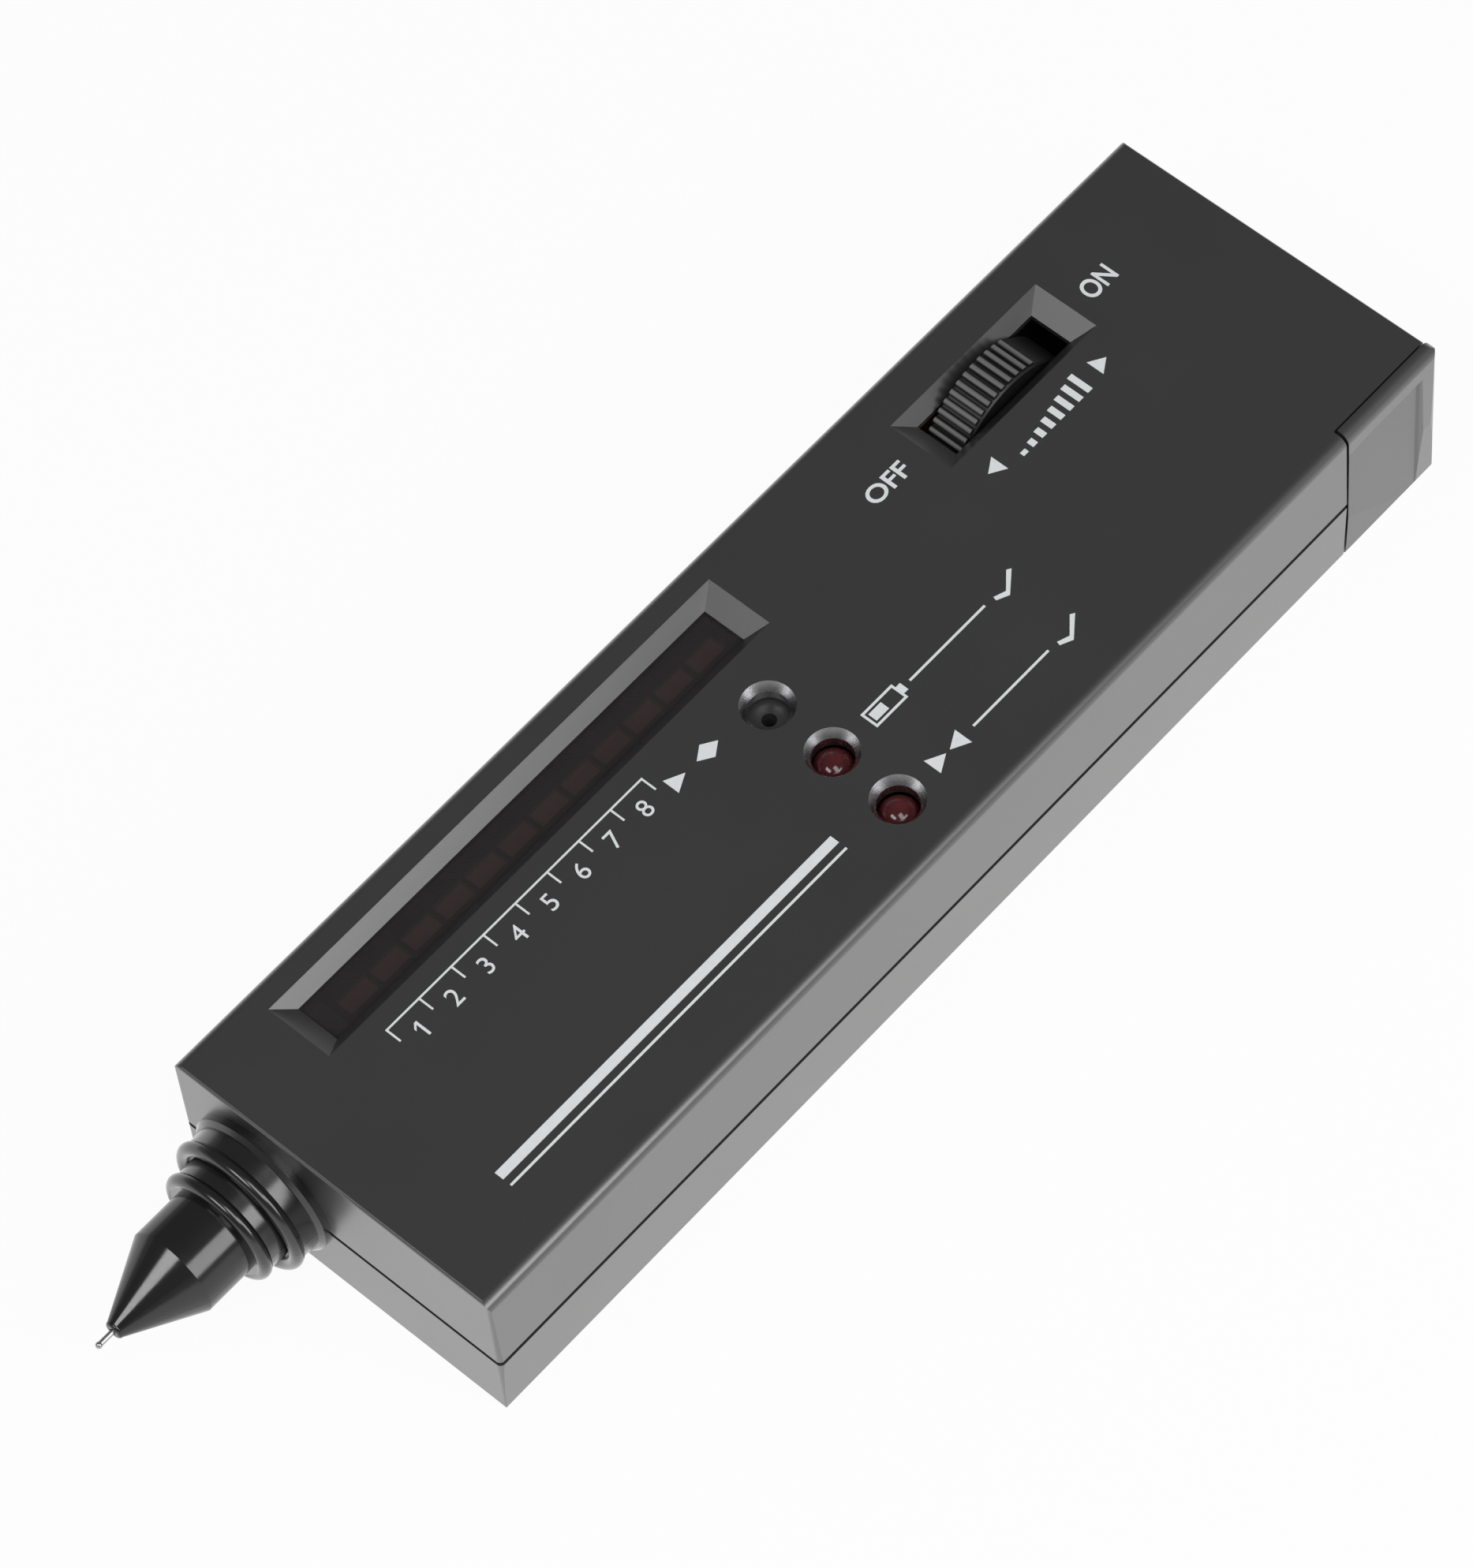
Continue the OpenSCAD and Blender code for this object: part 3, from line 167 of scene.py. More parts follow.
def addObject(name, data):
    thing = bpy.data.objects.new(name, data)
    scene.collection.objects.link(thing)
    return thing


# camera
cameraLook = dict(
    spot=(0.30782, -0.29651, 0.70357),
    aim=(-0.00485, -0.00872, 0.01150),
    roll=-6.69,  # degrees
    lens=174.18,
    sensor=36,
    near=0.01,
)


def placeCamera(look):
    data = bpy.data.cameras.new("camera")
    data.lens, data.sensor_width, data.clip_start = look["lens"], look["sensor"], look["near"]
    back = Vector(look["spot"]) - Vector(look["aim"])
    roll = Matrix.Rotation(math.radians(look["roll"]), 3, "Z")
    turn = back.to_track_quat("Z", "Y").to_matrix() @ roll
    camera = addObject("camera", data)
    camera.matrix_world = Matrix.Translation(look["spot"]) @ turn.to_4x4()
    scene.camera = camera


placeCamera(cameraLook)
print("camera placed")


# floor, world and lamps
floorLook = dict(
    flat=1.4, rim=2.4, height=0.9, drop=0.1 * mm, rings=12, sides=96,
    white=(0.84, 0.84, 0.84, 1),
    seen=(1, 1, 1, 1), seenShare=0.95,
    rimGrey=(0.3, 0.3, 0.3, 1), fade=0.35,  # seen where the floor has risen that far
)
worldLook = dict(colour=(0.15, 0.15, 0.15, 1))
lampLooks = {
    "right_box": dict(towards=(0.78, 0.22, 0.575), distance=0.75, size=(0.26, 0.46), glow=4.6),
    "front_box": dict(towards=(-0.08, -0.573, 0.815), distance=2.5, size=(1.3, 0.55), glow=7.2),
    "top_box": dict(towards=(0.45, -0.08, 0.89), distance=1.0, size=(0.34, 0.6), glow=4.6),
}
lampAim = Vector((-0.0106, -0.085, 0.0115))  # the nose


def floorMesh(look):
    shape = bmesh.new()
    centre = shape.verts.new((0, 0, -look["drop"]))
    turns = [2 * math.pi * k / look["sides"] for k in range(look["sides"])]
    loops = []
    for ring in range(look["rings"] + 1):
        bend = ring / look["rings"] * math.pi / 2
        radius = look["flat"] + (look["rim"] - look["flat"]) * math.sin(bend)
        height = look["height"] * (1 - math.cos(bend)) - look["drop"]
        loops.append([shape.verts.new((radius * math.cos(a), radius * math.sin(a), height)) for a in turns])
    for k in range(look["sides"]):
        after = (k + 1) % look["sides"]
        shape.faces.new((centre, loops[0][k], loops[0][after]))
        for inner, outer in zip(loops, loops[1:]):
            shape.faces.new((inner[k], outer[k], outer[after], inner[after]))
    return meshFrom("floor", shape)


def paleFloor(look):
    material = bpy.data.materials.new("paleFloor")
    graph = emptyGraph(material)
    path = graph.add("ShaderNodeLightPath", out="Is Camera Ray")
    seen = path + path.output("Is Glossy Ray") + path.output("Is Transmission Ray")
    lit = graph.add("ShaderNodeBsdfDiffuse", {}, {"Color": look["white"]})
    height = graph.add("ShaderNodeSeparateXYZ", {}, {0: graph.spot()}, "Z")
    risen = graph.add("ShaderNodeMapRange", {}, {
        "Value": height, "From Min": 0.0, "From Max": look["fade"],
    })
    backdrop = graph.mix(risen, look["seen"], look["rimGrey"])
    glow = graph.add("ShaderNodeEmission", {}, {"Color": backdrop, "Strength": 1.0})
    surface = graph.add("ShaderNodeMixShader", {}, {0: seen * look["seenShare"], 1: lit, 2: glow})
    graph.add("ShaderNodeOutputMaterial", {}, {"Surface": surface})
    return material


def makeFloor(look):
    mesh = floorMesh(look)
    mesh.materials.append(paleFloor(look))
    addObject("floor", mesh)


def makeWorld(look):
    world = bpy.data.worlds.new("studio")
    graph = emptyGraph(world)
    sky = graph.add("ShaderNodeBackground", {}, {"Color": look["colour"], "Strength": 1.0})
    graph.add("ShaderNodeOutputWorld", {}, {"Surface": sky})
    scene.world = world


def placeLamp(name, look):
    area = bpy.data.lights.new(name, "AREA")
    area.shape = "RECTANGLE"
    area.size, area.size_y = look["size"]
    area.energy = look["glow"] * math.pi * area.size * area.size_y  # glow is the panel's brightness
    towards = Vector(look["towards"]).normalized()
    turn = towards.to_track_quat("Z", "Y").to_matrix().to_4x4()
    lamp = addObject(name, area)
    lamp.matrix_world = Matrix.Translation(lampAim + towards * look["distance"]) @ turn
    lamp.visible_camera = False


makeFloor(floorLook)
makeWorld(worldLook)
for lampName, lampLook in lampLooks.items():
    placeLamp(lampName, lampLook)
scene.view_settings.view_transform = "Standard"
print("floor, world and", len(lampLooks), "lamps placed")


# plastics
def lacquer(baseIor, coatIor, coatRough):
    return {"IOR": baseIor, "Coat Weight": 1.0, "Coat IOR": coatIor, "Coat Roughness": coatRough}


satinGrain = dict(
    drift=0.1, patch=60, grain=3600, depth=0.012 * mm, strength=0.3, rough=0.42, roughDrift=0.1)
polishGrain = dict(
    drift=0.15, patch=150, grain=1400, depth=0.004 * mm, strength=0.1)
innerGrain = dict(
    drift=0.2, grain=2200, depth=0.02 * mm, strength=0.3, roughDrift=0.12, fixed={"IOR": 1.5})
leadGrain = dict(
    drift=0.1, patch=300, grain=1800, depth=0.01 * mm, strength=0.2, rough=0.35, roughDrift=0.1,
    fixed={"IOR": 1.5})
caseLook = dict(satinGrain, colour=(0.023, 0.023, 0.0235), fixed=lacquer(1.6, 1.8, 0.3))
plasticLooks = {
    # lower case: the same black plastic as the upper case, with a lighter colour painted in that stands in
    # for the brighter floor reflection on its lower sides
    "lowerSatinPaintedLight": dict(
        satinGrain, colour=(0.036, 0.0355, 0.034), fixed=lacquer(1.6, 1.87, 0.3),
        on=("lower_case",)),
    "probeGloss": dict(
        polishGrain, colour=(0.011, 0.011, 0.012), rough=0.16, roughDrift=0.06, fixed={"IOR": 1.6},
        on=("nose_cone",)),
    "sleeveSatin": dict(
        polishGrain, colour=(0.009, 0.009, 0.0095), rough=0.26, roughDrift=0.08,
        fixed=lacquer(1.25, 1.62, 0.2),
        on=("probe_sleeve",)),
    "innerBlack": dict(
        innerGrain, colour=(0.014, 0.014, 0.015), patch=140, rough=0.5,
        on=("lamp_holder", "driver_chips", "amplifier_chip", "battery_snap", "snap_lead_black")),
    "buzzerBlack": dict(
        innerGrain, colour=(0.04, 0.04, 0.041), patch=260, rough=0.4,
        on=("buzzer",)),
    "paleInsulator": dict(
        colour=(0.72, 0.68, 0.58), drift=0.06, patch=300, grain=2600, depth=0.02 * mm, strength=0.25,
        rough=0.45, roughDrift=0.1, fixed={"IOR": 1.5},
        on=("probe_plug",)),
    "leadRed": dict(leadGrain, colour=(0.5, 0.02, 0.02), on=("snap_lead_red",)),
    "leadYellow": dict(leadGrain, colour=(0.7, 0.5, 0.05), on=("probe_leads",)),
    "leadGrey": dict(leadGrain, colour=(0.3, 0.3, 0.32), on=("pot_leads",)),
    "partBlue": dict(
        leadGrain, colour=(0.03, 0.08, 0.35), drift=0.12, patch=250, rough=0.3,
        on=("capacitors", "trimmers")),
    "coatTan": dict(
        colour=(0.55, 0.42, 0.28), drift=0.12, patch=400, grain=2400, depth=0.015 * mm, strength=0.25,
        rough=0.5, roughDrift=0.12, fixed={"IOR": 1.5},
        on=("resistors", "heater_bead")),
    "laminateBrown": dict(
        colour=(0.22, 0.11, 0.05), drift=0.18, patch=220, grain=1500, depth=0.02 * mm, strength=0.25,
        rough=0.55, roughDrift=0.12, fixed={"IOR": 1.5},
        on=("pot_board", "pot_body")),
    "padFoam": dict(
        colour=(0.1, 0.1, 0.105), drift=0.3, patch=900, grain=1300, depth=0.2 * mm, strength=0.8,
        rough=0.9, roughDrift=0.1, fixed={"IOR": 1.4},
        on=("battery_pad",)),
    "lampRed": dict(
        colour=(0.55, 0.16, 0.15), drift=0.5, patch=30, grain=900, depth=0.01 * mm, strength=0.15,
        rough=0.3, roughDrift=0.1, fixed={"IOR": 1.5},
        on=("bar_lamps",)),
}


def mouldedPlastic(look, calm=None):  # no grain where calm is 1
    def paint(graph):
        spot = graph.spot()
        patch = graph.noise(spot, look["patch"])
        grain = graph.noise(spot, look["grain"], fine=True)
        height = grain * (1 - calm) if calm else grain
        return {
            "Base Color": graph.shades(patch, look["colour"], look["drift"]),
            "Roughness": look["rough"] + (patch + grain - 1) * look["roughDrift"],
            "Normal": graph.bump(height, look["depth"], look["strength"]),
            **look["fixed"],
        }
    return paint


for finishName, finishLook in plasticLooks.items():
    dress(newMaterial(finishName, mouldedPlastic(finishLook)), *finishLook["on"])
print(len(plasticLooks), "plastics made")


# upper case, with the bright turned walls of its three countersinks
sinkLook = dict(
    over=("buzzer", "battery_lamp", "ready_lamp"), radius=3.1 * mm, depth=2.2 * mm,
    shine=(0.5, 0.5, 0.51), drift=0.25, streak=700, stretch=(1, 1, 0.1), rough=0.27,
)


def sunkSatin(graph):
    spot = graph.spot()
    height = graph.add("ShaderNodeSeparateXYZ", {}, {0: spot}, "Z")
    sunk = 0
    for name in sinkLook["over"]:
        middle = sum(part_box(name), Vector()) / 2
        radius = graph.distance(spot, middle, (1, 1, 0))
        sunk = sunk + radius.maths("LESS_THAN", radius, sinkLook["radius"])
    sunk = sunk * height.maths("GREATER_THAN", height, topZ - sinkLook["depth"])
    sockets = mouldedPlastic(caseLook, sunk)(graph)
    streak = graph.noise(graph.spot(sinkLook["stretch"]), sinkLook["streak"])
    wall = graph.shades(streak, sinkLook["shine"], sinkLook["drift"])
    sockets["Base Color"] = graph.mix(sunk, sockets["Base Color"], wall)
    sockets["Roughness"] = sockets["Roughness"] + sunk * (sinkLook["rough"] - caseLook["rough"])
    sockets["Metallic"] = sunk
    sockets["Coat Weight"] = 1 - sunk
    return sockets


dress(newMaterial("caseSatin", sunkSatin), "upper_case")


# thumbwheel, black, with a painted highlight of lighter grey on the crests of its ribs and painted shade in
# the valleys between them
wheelLook = dict(
    valleyShade=(0.009, 0.009, 0.009, 1), crest=(0.16, 0.16, 0.16, 1), fade=0.2 * mm,
    grain=2500, depth=0.012 * mm, strength=0.25, rough=0.42, roughDrift=0.12,
)


def ribbedBlack(graph):
    low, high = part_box("volume_wheel")
    outside = (high.z - low.z) / 2
    spot = graph.spot()
    radius = graph.distance(spot, (low + high) / 2, (0, 1, 1))
    # painted highlight on the rib crests and painted shade in the valleys, set by the distance from the
    # wheel's axis
    crest = graph.add("ShaderNodeMapRange", {"interpolation_type": "SMOOTHSTEP"}, {
        "Value": radius, "From Min": outside - wheelLook["fade"], "From Max": outside,
    })
    return {
        "Base Color": graph.mix(crest, wheelLook["valleyShade"], wheelLook["crest"]),
        **graph.grained(graph.noise(spot, wheelLook["grain"], fine=True), wheelLook),
    }


dress(newMaterial("wheelBlack", ribbedBlack), "volume_wheel")


# battery door, duller inside its thumb panel
doorLook = dict(caseLook, panelRear=3.3 * mm, panelTop=3.3 * mm, panelCoat=0.7)


def doorSatin(graph):
    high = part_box("battery_door")[1]
    place = graph.add("ShaderNodeSeparateXYZ", {}, {0: graph.spot()}, "Y")
    beforeRear = place.maths("LESS_THAN", place, high.y - doorLook["panelRear"])
    underTop = place.maths("LESS_THAN", place.output("Z"), high.z - doorLook["panelTop"])
    sockets = mouldedPlastic(doorLook)(graph)
    sockets["Coat Weight"] = 1 - beforeRear * underTop * (1 - doorLook["panelCoat"])
    return sockets


dress(newMaterial("doorSatin", doorSatin), "battery_door")
print("upper case, wheel and door dressed")


# dark filter over the bar lamps
filterLook = dict(
    colour=(0.044, 0.039, 0.039), drift=0.15, alpha=0.58,
    haze=240, depth=0.004 * mm, strength=0.1, rough=0.14, roughDrift=0.06,
)


def redFilter(graph):
    haze = graph.noise(graph.spot(), filterLook["haze"], fine=True)
    return {
        "Base Color": graph.shades(haze, filterLook["colour"], filterLook["drift"]),
        "Alpha": filterLook["alpha"],
        **graph.grained(haze, filterLook),
    }


dress(newMaterial("filterRed", redFilter), "display_window")


# domed lamps
domeLook = dict(
    colour=(0.26, 0.036, 0.042), drift=0.1, clear=0.75, ior=1.53,
    haze=500, depth=0.004 * mm, strength=0.08, rough=0.13, roughDrift=0.04,
)


def redDome(graph):
    haze = graph.noise(graph.spot(), domeLook["haze"])
    return {
        "Base Color": graph.shades(haze, domeLook["colour"], domeLook["drift"]),
        "Transmission Weight": domeLook["clear"],
        "IOR": domeLook["ior"],
        **graph.grained(haze, domeLook),
    }


dress(newMaterial("domeRed", redDome), "battery_lamp", "ready_lamp")
print("filter and domed lamps dressed")


# metals
drawnGrain = dict(depth=0.006 * mm, strength=0.15)
metalLooks = {
    "platedSteel": dict(
        drawnGrain, colour=(0.62, 0.62, 0.64), drift=0.08, stretch=(1, 1, 8), grain=2600,
        rough=0.26, roughDrift=0.16,
        on=("case_screws", "board_screws", "wheel_screw", "wheel_shaft", "pot_terminals",
            "battery_terminals", "tip_spring")),
    "tipMetal": dict(
        drawnGrain, colour=(0.48, 0.48, 0.49), drift=0.15, stretch=(1, 6, 1), grain=2200,
        rough=0.34, roughDrift=0.16,
        on=("probe_tip",)),
    "turnedBrass": dict(
        drawnGrain, colour=(0.72, 0.5, 0.2), drift=0.1, stretch=(1, 9, 1), grain=1800,
        rough=0.24, roughDrift=0.14,
        on=("tip_plunger",)),
}


def drawnMetal(look):
    def paint(graph):
        streak = graph.noise(graph.spot(look["stretch"]), look["grain"], fine=True)
        return {
            "Base Color": graph.shades(streak, look["colour"], look["drift"]),
            "Metallic": 1.0,
            **graph.grained(streak, look),
        }
    return paint


for finishName, finishLook in metalLooks.items():
    dress(newMaterial(finishName, drawnMetal(finishLook)), *finishLook["on"])
print(len(metalLooks), "metals made")


# spring of the tip, a welded copy of the coil fixed to the case; how much it would keep as the tip goes in
# is worked out but not used
springLook = dict(joint="tip_press", weld=0.001 * mm)


def makeSpring(look):
    solid = nodes["tip_spring"].data
    shape = bmesh.new()
    shape.from_mesh(solid)
    bmesh.ops.remove_doubles(shape, verts=shape.verts, dist=look["weld"])
    mesh = meshFrom("tip_coil", shape)
    mesh.materials.append(solid.materials[0])
    spring = addObject("tip_coil", mesh)
    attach(spring, "case")
    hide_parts("tip_spring")
    low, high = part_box("tip_spring")
    joints = {joint["name"]: joint for joint in frame["record"]["behaviour"]["joints"]}
    start, end = joints[look["joint"]]["range_m"]
    keep = 1 - (end - start) / (high.y - low.y)
    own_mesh(spring)


makeSpring(springLook)
print("spring of the tip made")


# circuit board
boardLook = dict(
    mask=(0.012, 0.1, 0.035, 1), track=(0.03, 0.2, 0.07, 1),
    pitch=90, offset=0.37, gap=0.06, depth=0.03 * mm, strength=0.4,
    weave=2400, rough=0.34, roughDrift=0.2,
)


def solderMask(graph):
    spot = graph.spot()
    tracks = graph.add("ShaderNodeTexBrick", {"offset": boardLook["offset"]}, {
        "Vector": spot, "Scale": boardLook["pitch"], "Mortar Size": boardLook["gap"],
        "Color1": (0, 0, 0, 1), "Color2": (1, 1, 1, 1), "Mortar": (0.4, 0.4, 0.4, 1),
    })
    weave = graph.noise(spot, boardLook["weave"])
    return {
        "Base Color": graph.mix(tracks, boardLook["mask"], boardLook["track"]),
        "Roughness": boardLook["rough"] + (weave - 0.5) * boardLook["roughDrift"],
        "Normal": graph.bump(tracks, boardLook["depth"], boardLook["strength"]),
    }


dress(newMaterial("boardGreen", solderMask), "main_board")


# battery, in a plain dark jacket with one pale band
jacketLook = dict(
    jacket=(0.03, 0.034, 0.045, 1), band=(0.5, 0.5, 0.52, 1), bandMiddle=0.865, bandHalf=0.035,
    metal=0.35, brush=900, stretch=(1, 12, 1), depth=0.006 * mm, strength=0.15,
    rough=0.32, roughDrift=0.16,
)


def batteryJacket(graph):
    low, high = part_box("battery")
    along = graph.add("ShaderNodeSeparateXYZ", {}, {0: graph.spot()}, "Y")
    share = (along - low.y) / (high.y - low.y)
    inBand = graph.add("ShaderNodeMath", {"operation": "COMPARE"}, {
        0: share, 1: jacketLook["bandMiddle"], 2: jacketLook["bandHalf"],
    })
    brush = graph.noise(graph.spot(jacketLook["stretch"]), jacketLook["brush"])
    return {
        "Base Color": graph.mix(inBand, jacketLook["jacket"], jacketLook["band"]),
        "Metallic": jacketLook["metal"],
        **graph.grained(brush, jacketLook),
    }


dress(newMaterial("batteryJacket", batteryJacket), "battery")
print("board and battery dressed")


# printed marks, in millimetres on the top face
inkLook = dict(
    colour=(0.84, 0.87, 0.88), drift=0.05,
    blot=1500, depth=0.008 * mm, strength=0.2, rough=0.5, roughDrift=0.15,
    rise=0.03, sunk=0.01, weld=0.002,
)
inkDeep = inkLook["rise"] + inkLook["sunk"]


def whiteInk(graph):
    blot = graph.noise(graph.spot(), inkLook["blot"], fine=True)
    return {
        "Base Color": graph.shades(blot, inkLook["colour"], inkLook["drift"]),
        **graph.grained(blot, inkLook),
    }


ink = newMaterial("inkWhite", whiteInk)


def flatMark(outline):
    shape = bmesh.new()
    face = shape.faces.new([shape.verts.new((x, y, 0)) for x, y in outline])
    top = bmesh.ops.extrude_face_region(shape, geom=[face])["geom"]
    raised = [part for part in top if isinstance(part, bmesh.types.BMVert)]
    bmesh.ops.translate(shape, verts=raised, vec=(0, 0, inkDeep))
    bmesh.ops.recalc_face_normals(shape, faces=shape.faces)
    return meshFrom("mark", shape)


def barMark(x0, y0, x1, y1):
    return flatMark([(x0, y0), (x1, y0), (x1, y1), (x0, y1)])


def frameMark(x0, y0, x1, y1, stroke):
    return [
        barMark(x0, y0, x1, y0 + stroke),
        barMark(x0, y1 - stroke, x1, y1),
        barMark(x0, y0 + stroke, x0 + stroke, y1 - stroke),
        barMark(x1 - stroke, y0 + stroke, x1, y1 - stroke),
    ]


letterLook = dict(smooth=5, halfDeep=0.5)


# words that read along +Y, with their feet at x low and their heads at x high
def letters(words, low, high, middle, wide=None, bold=0.0):
    curve = bpy.data.curves.new("letters", "FONT")
    curve.body, curve.offset = words, bold
    curve.resolution_u, curve.extrude = letterLook["smooth"], letterLook["halfDeep"]
    holder = addObject("letters", curve)
    depsgraph = bpy.context.evaluated_depsgraph_get()
    mesh = bpy.data.meshes.new_from_object(holder.evaluated_get(depsgraph))
    bpy.data.objects.remove(holder)
    bpy.data.curves.remove(curve)
    spots = [vertex.co for vertex in mesh.vertices]
    x0, x1 = (pick(spot.x for spot in spots) for pick in (min, max))
    y0, y1 = (pick(spot.y for spot in spots) for pick in (min, max))
    tall = (low - high) / (y1 - y0)
    stretch = wide / (x1 - x0) if wide else tall
    place = (Matrix.Translation((low, middle, 0)) @ Matrix.Rotation(math.pi / 2, 4, "Z")
             @ Matrix.Diagonal((stretch, tall, inkDeep, 1))
             @ Matrix.Translation((-(x0 + x1) / 2, -y0, letterLook["halfDeep"])))
    mesh.transform(place)
    return mesh


def printMarks(name, meshes):
    shape = bmesh.new()
    for mesh in meshes:
        shape.from_mesh(mesh)
        bpy.data.meshes.remove(mesh)
    bmesh.ops.remove_doubles(shape, verts=shape.verts, dist=inkLook["weld"])
    foot = Matrix.Translation((0, 0, topZ - inkLook["sunk"] * mm))
    bmesh.ops.transform(shape, verts=shape.verts, matrix=foot @ Matrix.Diagonal((mm, mm, mm, 1)))
    bmesh.ops.recalc_face_normals(shape, faces=shape.faces)
    mesh = meshFrom(name, shape)
    mesh.materials.append(ink)
    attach(addObject(name, mesh), "case")


# geometry trees for the marks that repeat
def newTree(name, sizes):
    tree = bpy.data.node_groups.new(name, "GeometryNodeTree")
    tree.interface.new_socket("Geometry", in_out="OUTPUT", socket_type="NodeSocketGeometry")
    for size, value in sizes.items():
        kind = "NodeSocketInt" if isinstance(value, int) else "NodeSocketFloat"
        tree.interface.new_socket(size, in_out="INPUT", socket_type=kind)
    graph = Graph(tree)
    first = graph.add("NodeGroupInput", out=next(iter(sizes)))
    return graph, {size: first.output(size) for size in sizes}


def vector(graph, x, y, z):
    return graph.add("ShaderNodeCombineXYZ", {}, {0: x, 1: y, 2: z})


def markRow(graph, size):
    step = vector(graph, 0, size["Pitch"], 0)
    return graph.add("GeometryNodeMeshLine", {"mode": "OFFSET"}, {"Count": size["Count"], "Offset": step})


def block(graph, size, middle):
    cube = graph.add("GeometryNodeMeshCube", {}, {"Size": vector(graph, *size)})
    place = vector(graph, *middle)
    return graph.add("GeometryNodeTransform", {}, {"Geometry": cube, "Translation": place})


def closeTree(graph, *parts):
    join = graph.add("GeometryNodeJoinGeometry")
    for part in parts:
        graph.tree.links.new(part.socket, join.socket.node.inputs[0])
    real = graph.add("GeometryNodeRealizeInstances", {}, {"Geometry": join})
    inked = graph.add("GeometryNodeSetMaterial", {}, {"Geometry": real, "Material": ink})
    graph.add("NodeGroupOutput", {}, {"Geometry": inked})


def growMesh(graph, sizes):
    carrier = addObject("carrier", bpy.data.meshes.new("carrier"))
    modifier = carrier.modifiers.new("marks", "NODES")
    modifier.node_group = graph.tree
    for item in graph.tree.interface.items_tree:
        if item.in_out == "INPUT":
            modifier[item.identifier] = sizes[item.name]
    depsgraph = bpy.context.evaluated_depsgraph_get()
    mesh = bpy.data.meshes.new_from_object(carrier.evaluated_get(depsgraph), depsgraph=depsgraph)
    carrier.modifiers.remove(modifier)
    bpy.data.objects.remove(carrier)
    return mesh


# scale beside the window
scaleLook = dict(
    line=(-7.8, -58.95),  # x and front end of the long line
    sizes={"Count": 9, "Pitch": 4.94, "Stroke": 0.24, "Tick": 1.9, "Rise": inkDeep},
    digits=(-4.0, -6.2),  # x of the feet and heads of the numbers
    one=dict(stroke=0.32, flag=0.56, thick=0.34),
    arrow=[(-5.9, -18.2), (-3.6, -18.2), (-4.75, -15.9)],
    lozenge=(-4.75, -12.4, 1.15, 1.7),  # middle and half sizes
)


def scaleTree(sizes):
    graph, size = newTree("scaleMarks", sizes)
    stroke, tickLong, rise = size["Stroke"], size["Tick"], size["Rise"]
    span = (size["Count"] - 1) * size["Pitch"]
    reach = tickLong + stroke * 0.5
    tick = block(graph, (tickLong, stroke, rise), (reach - tickLong * 0.5, 0, rise * 0.5))
    ticks = graph.add("GeometryNodeInstanceOnPoints", {}, {"Points": markRow(graph, size), "Instance": tick})
    line = block(graph, (stroke, span + stroke, rise), (0, span * 0.5, rise * 0.5))
    closeTree(graph, ticks, line)
    return graph


def digitOne(look, low, high, middle):  # with a flag, because the font's own is a plain bar
    right, left, drop = middle + look["stroke"], middle - look["flag"], high + look["flag"]
    return flatMark([
        (low, middle), (low, right), (high, right), (high, middle),
        (drop, left), (drop + look["thick"], left), (high + look["thick"], middle),
    ])


def printScale(look):
    lineX, lineY = look["line"]
    marks = growMesh(scaleTree(look["sizes"]), look["sizes"])
    marks.transform(Matrix.Translation((lineX, lineY, 0)))
    x, y, halfWide, halfLong = look["lozenge"]
    lozenge = flatMark([(x - halfWide, y), (x, y - halfLong), (x + halfWide, y), (x, y + halfLong)])
    printMarks("scale_marks", [marks, flatMark(look["arrow"]), lozenge])
    gaps = look["sizes"]["Count"] - 1
    middles = [lineY + (k + 0.5) * look["sizes"]["Pitch"] for k in range(gaps)]
    printMarks("scale_numbers", [digitOne(look["one"], *look["digits"], middles[0])] + [
        letters(str(k + 1), *look["digits"], middles[k]) for k in range(1, gaps)
    ])


printScale(scaleLook)
print("scale printed")


# words at the ends of the wheel slot
switchLook = dict(
    on=dict(words="ON", low=-10.6, high=-13.2, middle=59.7, wide=4.4, bold=0.018),
    off=dict(words="OFF", low=-11.2, high=-13.5, middle=25.2, wide=6.0, bold=0.018),
)
printMarks("switch_words", [letters(**switchLook[side]) for side in ("on", "off")])


# rising bars between two arrows, beside the wheel
volumeLook = dict(
    less=[(-4.7, 33.0), (-5.9, 34.9), (-3.5, 34.9)],
    more=[(-4.7, 52.7), (-5.9, 50.8), (-3.5, 50.8)],
    start=(-3.2, 37.6),
    sizes={"Count": 8, "Pitch": 1.52, "Stroke": 0.8, "Low": 0.6, "High": 3.0, "Rise": inkDeep},
)


def volumeTree(sizes):
    graph, size = newTree("volumeBars", sizes)
    bar = block(graph, (1.0, size["Stroke"], size["Rise"]), (-0.5, 0, size["Rise"] * 0.5))
    climb = graph.add("GeometryNodeInputIndex") / (size["Count"] - 1)
    tall = size["Low"] + (size["High"] - size["Low"]) * climb
    bars = graph.add("GeometryNodeInstanceOnPoints", {}, {
        "Points": markRow(graph, size), "Instance": bar, "Scale": vector(graph, tall, 1, 1),
    })
    closeTree(graph, bars)
    return graph


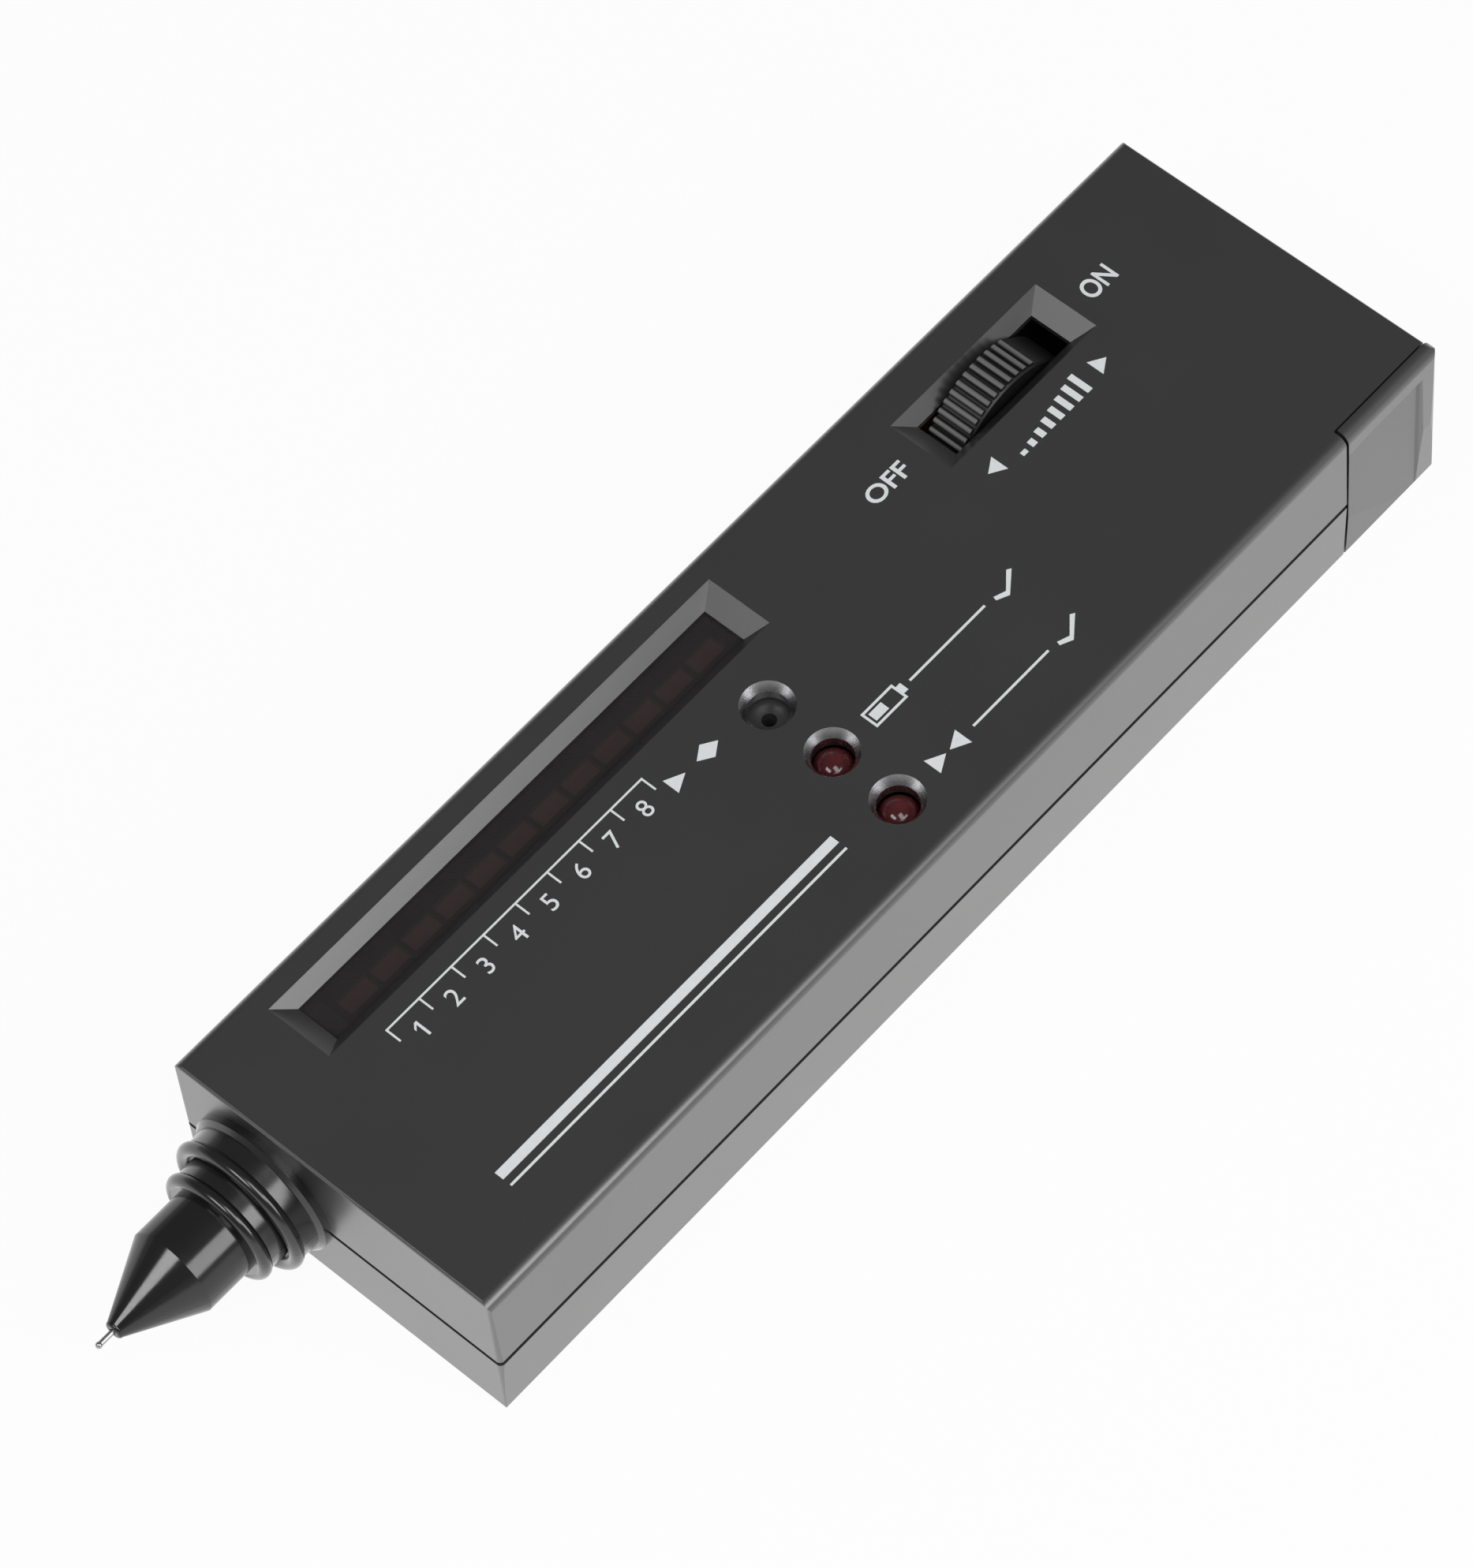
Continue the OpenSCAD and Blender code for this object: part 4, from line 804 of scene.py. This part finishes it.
def printVolume(look):
    bars = growMesh(volumeTree(look["sizes"]), look["sizes"])
    bars.transform(Matrix.Translation((*look["start"], 0)))
    printMarks("volume_marks", [flatMark(look["less"]), bars, flatMark(look["more"])])


printVolume(volumeLook)
print("switch and volume marks printed")


# icon, rule and tick behind each domed lamp
lampMarkLook = dict(
    batteryX=6.0, readyX=14.9, half=1.2, stroke=0.3,
    icon=(1.2, 6.2), nub=0.7, inset=0.6, charge=2.6,
    rule=(7.8, 20.0),
    tickFrom=21.4,
    tick=[(0.54, 1.44), (0, 0), (0.495, -0.132), (1.2, 1.34), (-0.87, 4.0), (-1.2, 3.505)],
)


def batteryIcon(look, x):
    half, inset, (y0, y1) = look["half"], look["inset"], look["icon"]
    nub = barMark(x - half / 2, y1, x + half / 2, y1 + look["nub"])
    charge = barMark(x - half + inset, y0 + inset, x + half - inset, y0 + look["charge"])
    return frameMark(x - half, y0, x + half, y1, look["stroke"]) + [nub, charge]


def readyIcon(look, x):
    half, stroke, (y0, y1) = look["half"], look["stroke"], look["icon"]
    middle = (y0 + y1) / 2
    return [
        flatMark([(x - half, y0), (x, middle - stroke), (x + half, y0)]),
        flatMark([(x - half, y1), (x + half, y1), (x, middle + stroke)]),
    ]


def ruleAndTick(look, x):
    start, end = look["rule"]
    rule = barMark(x - look["stroke"] / 2, start, x + look["stroke"] / 2, end)
    return [rule, flatMark([(x + across, look["tickFrom"] + along) for across, along in look["tick"]])]


def printLampMarks(look):
    marks = batteryIcon(look, look["batteryX"]) + ruleAndTick(look, look["batteryX"])
    marks += readyIcon(look, look["readyX"]) + ruleAndTick(look, look["readyX"])
    printMarks("lamp_marks", marks)


printLampMarks(lampMarkLook)


# plain stripes on the wide part of the panel
stripeLook = dict(reach=(-64.1, -12.0), across=[(12.2, 13.4), (14.3, 14.6)])


def printStripes(look):
    front, rear = look["reach"]
    printMarks("panel_stripes", [barMark(x0, front, x1, rear) for x0, x1 in look["across"]])


printStripes(stripeLook)
print("lamp marks and stripes printed")
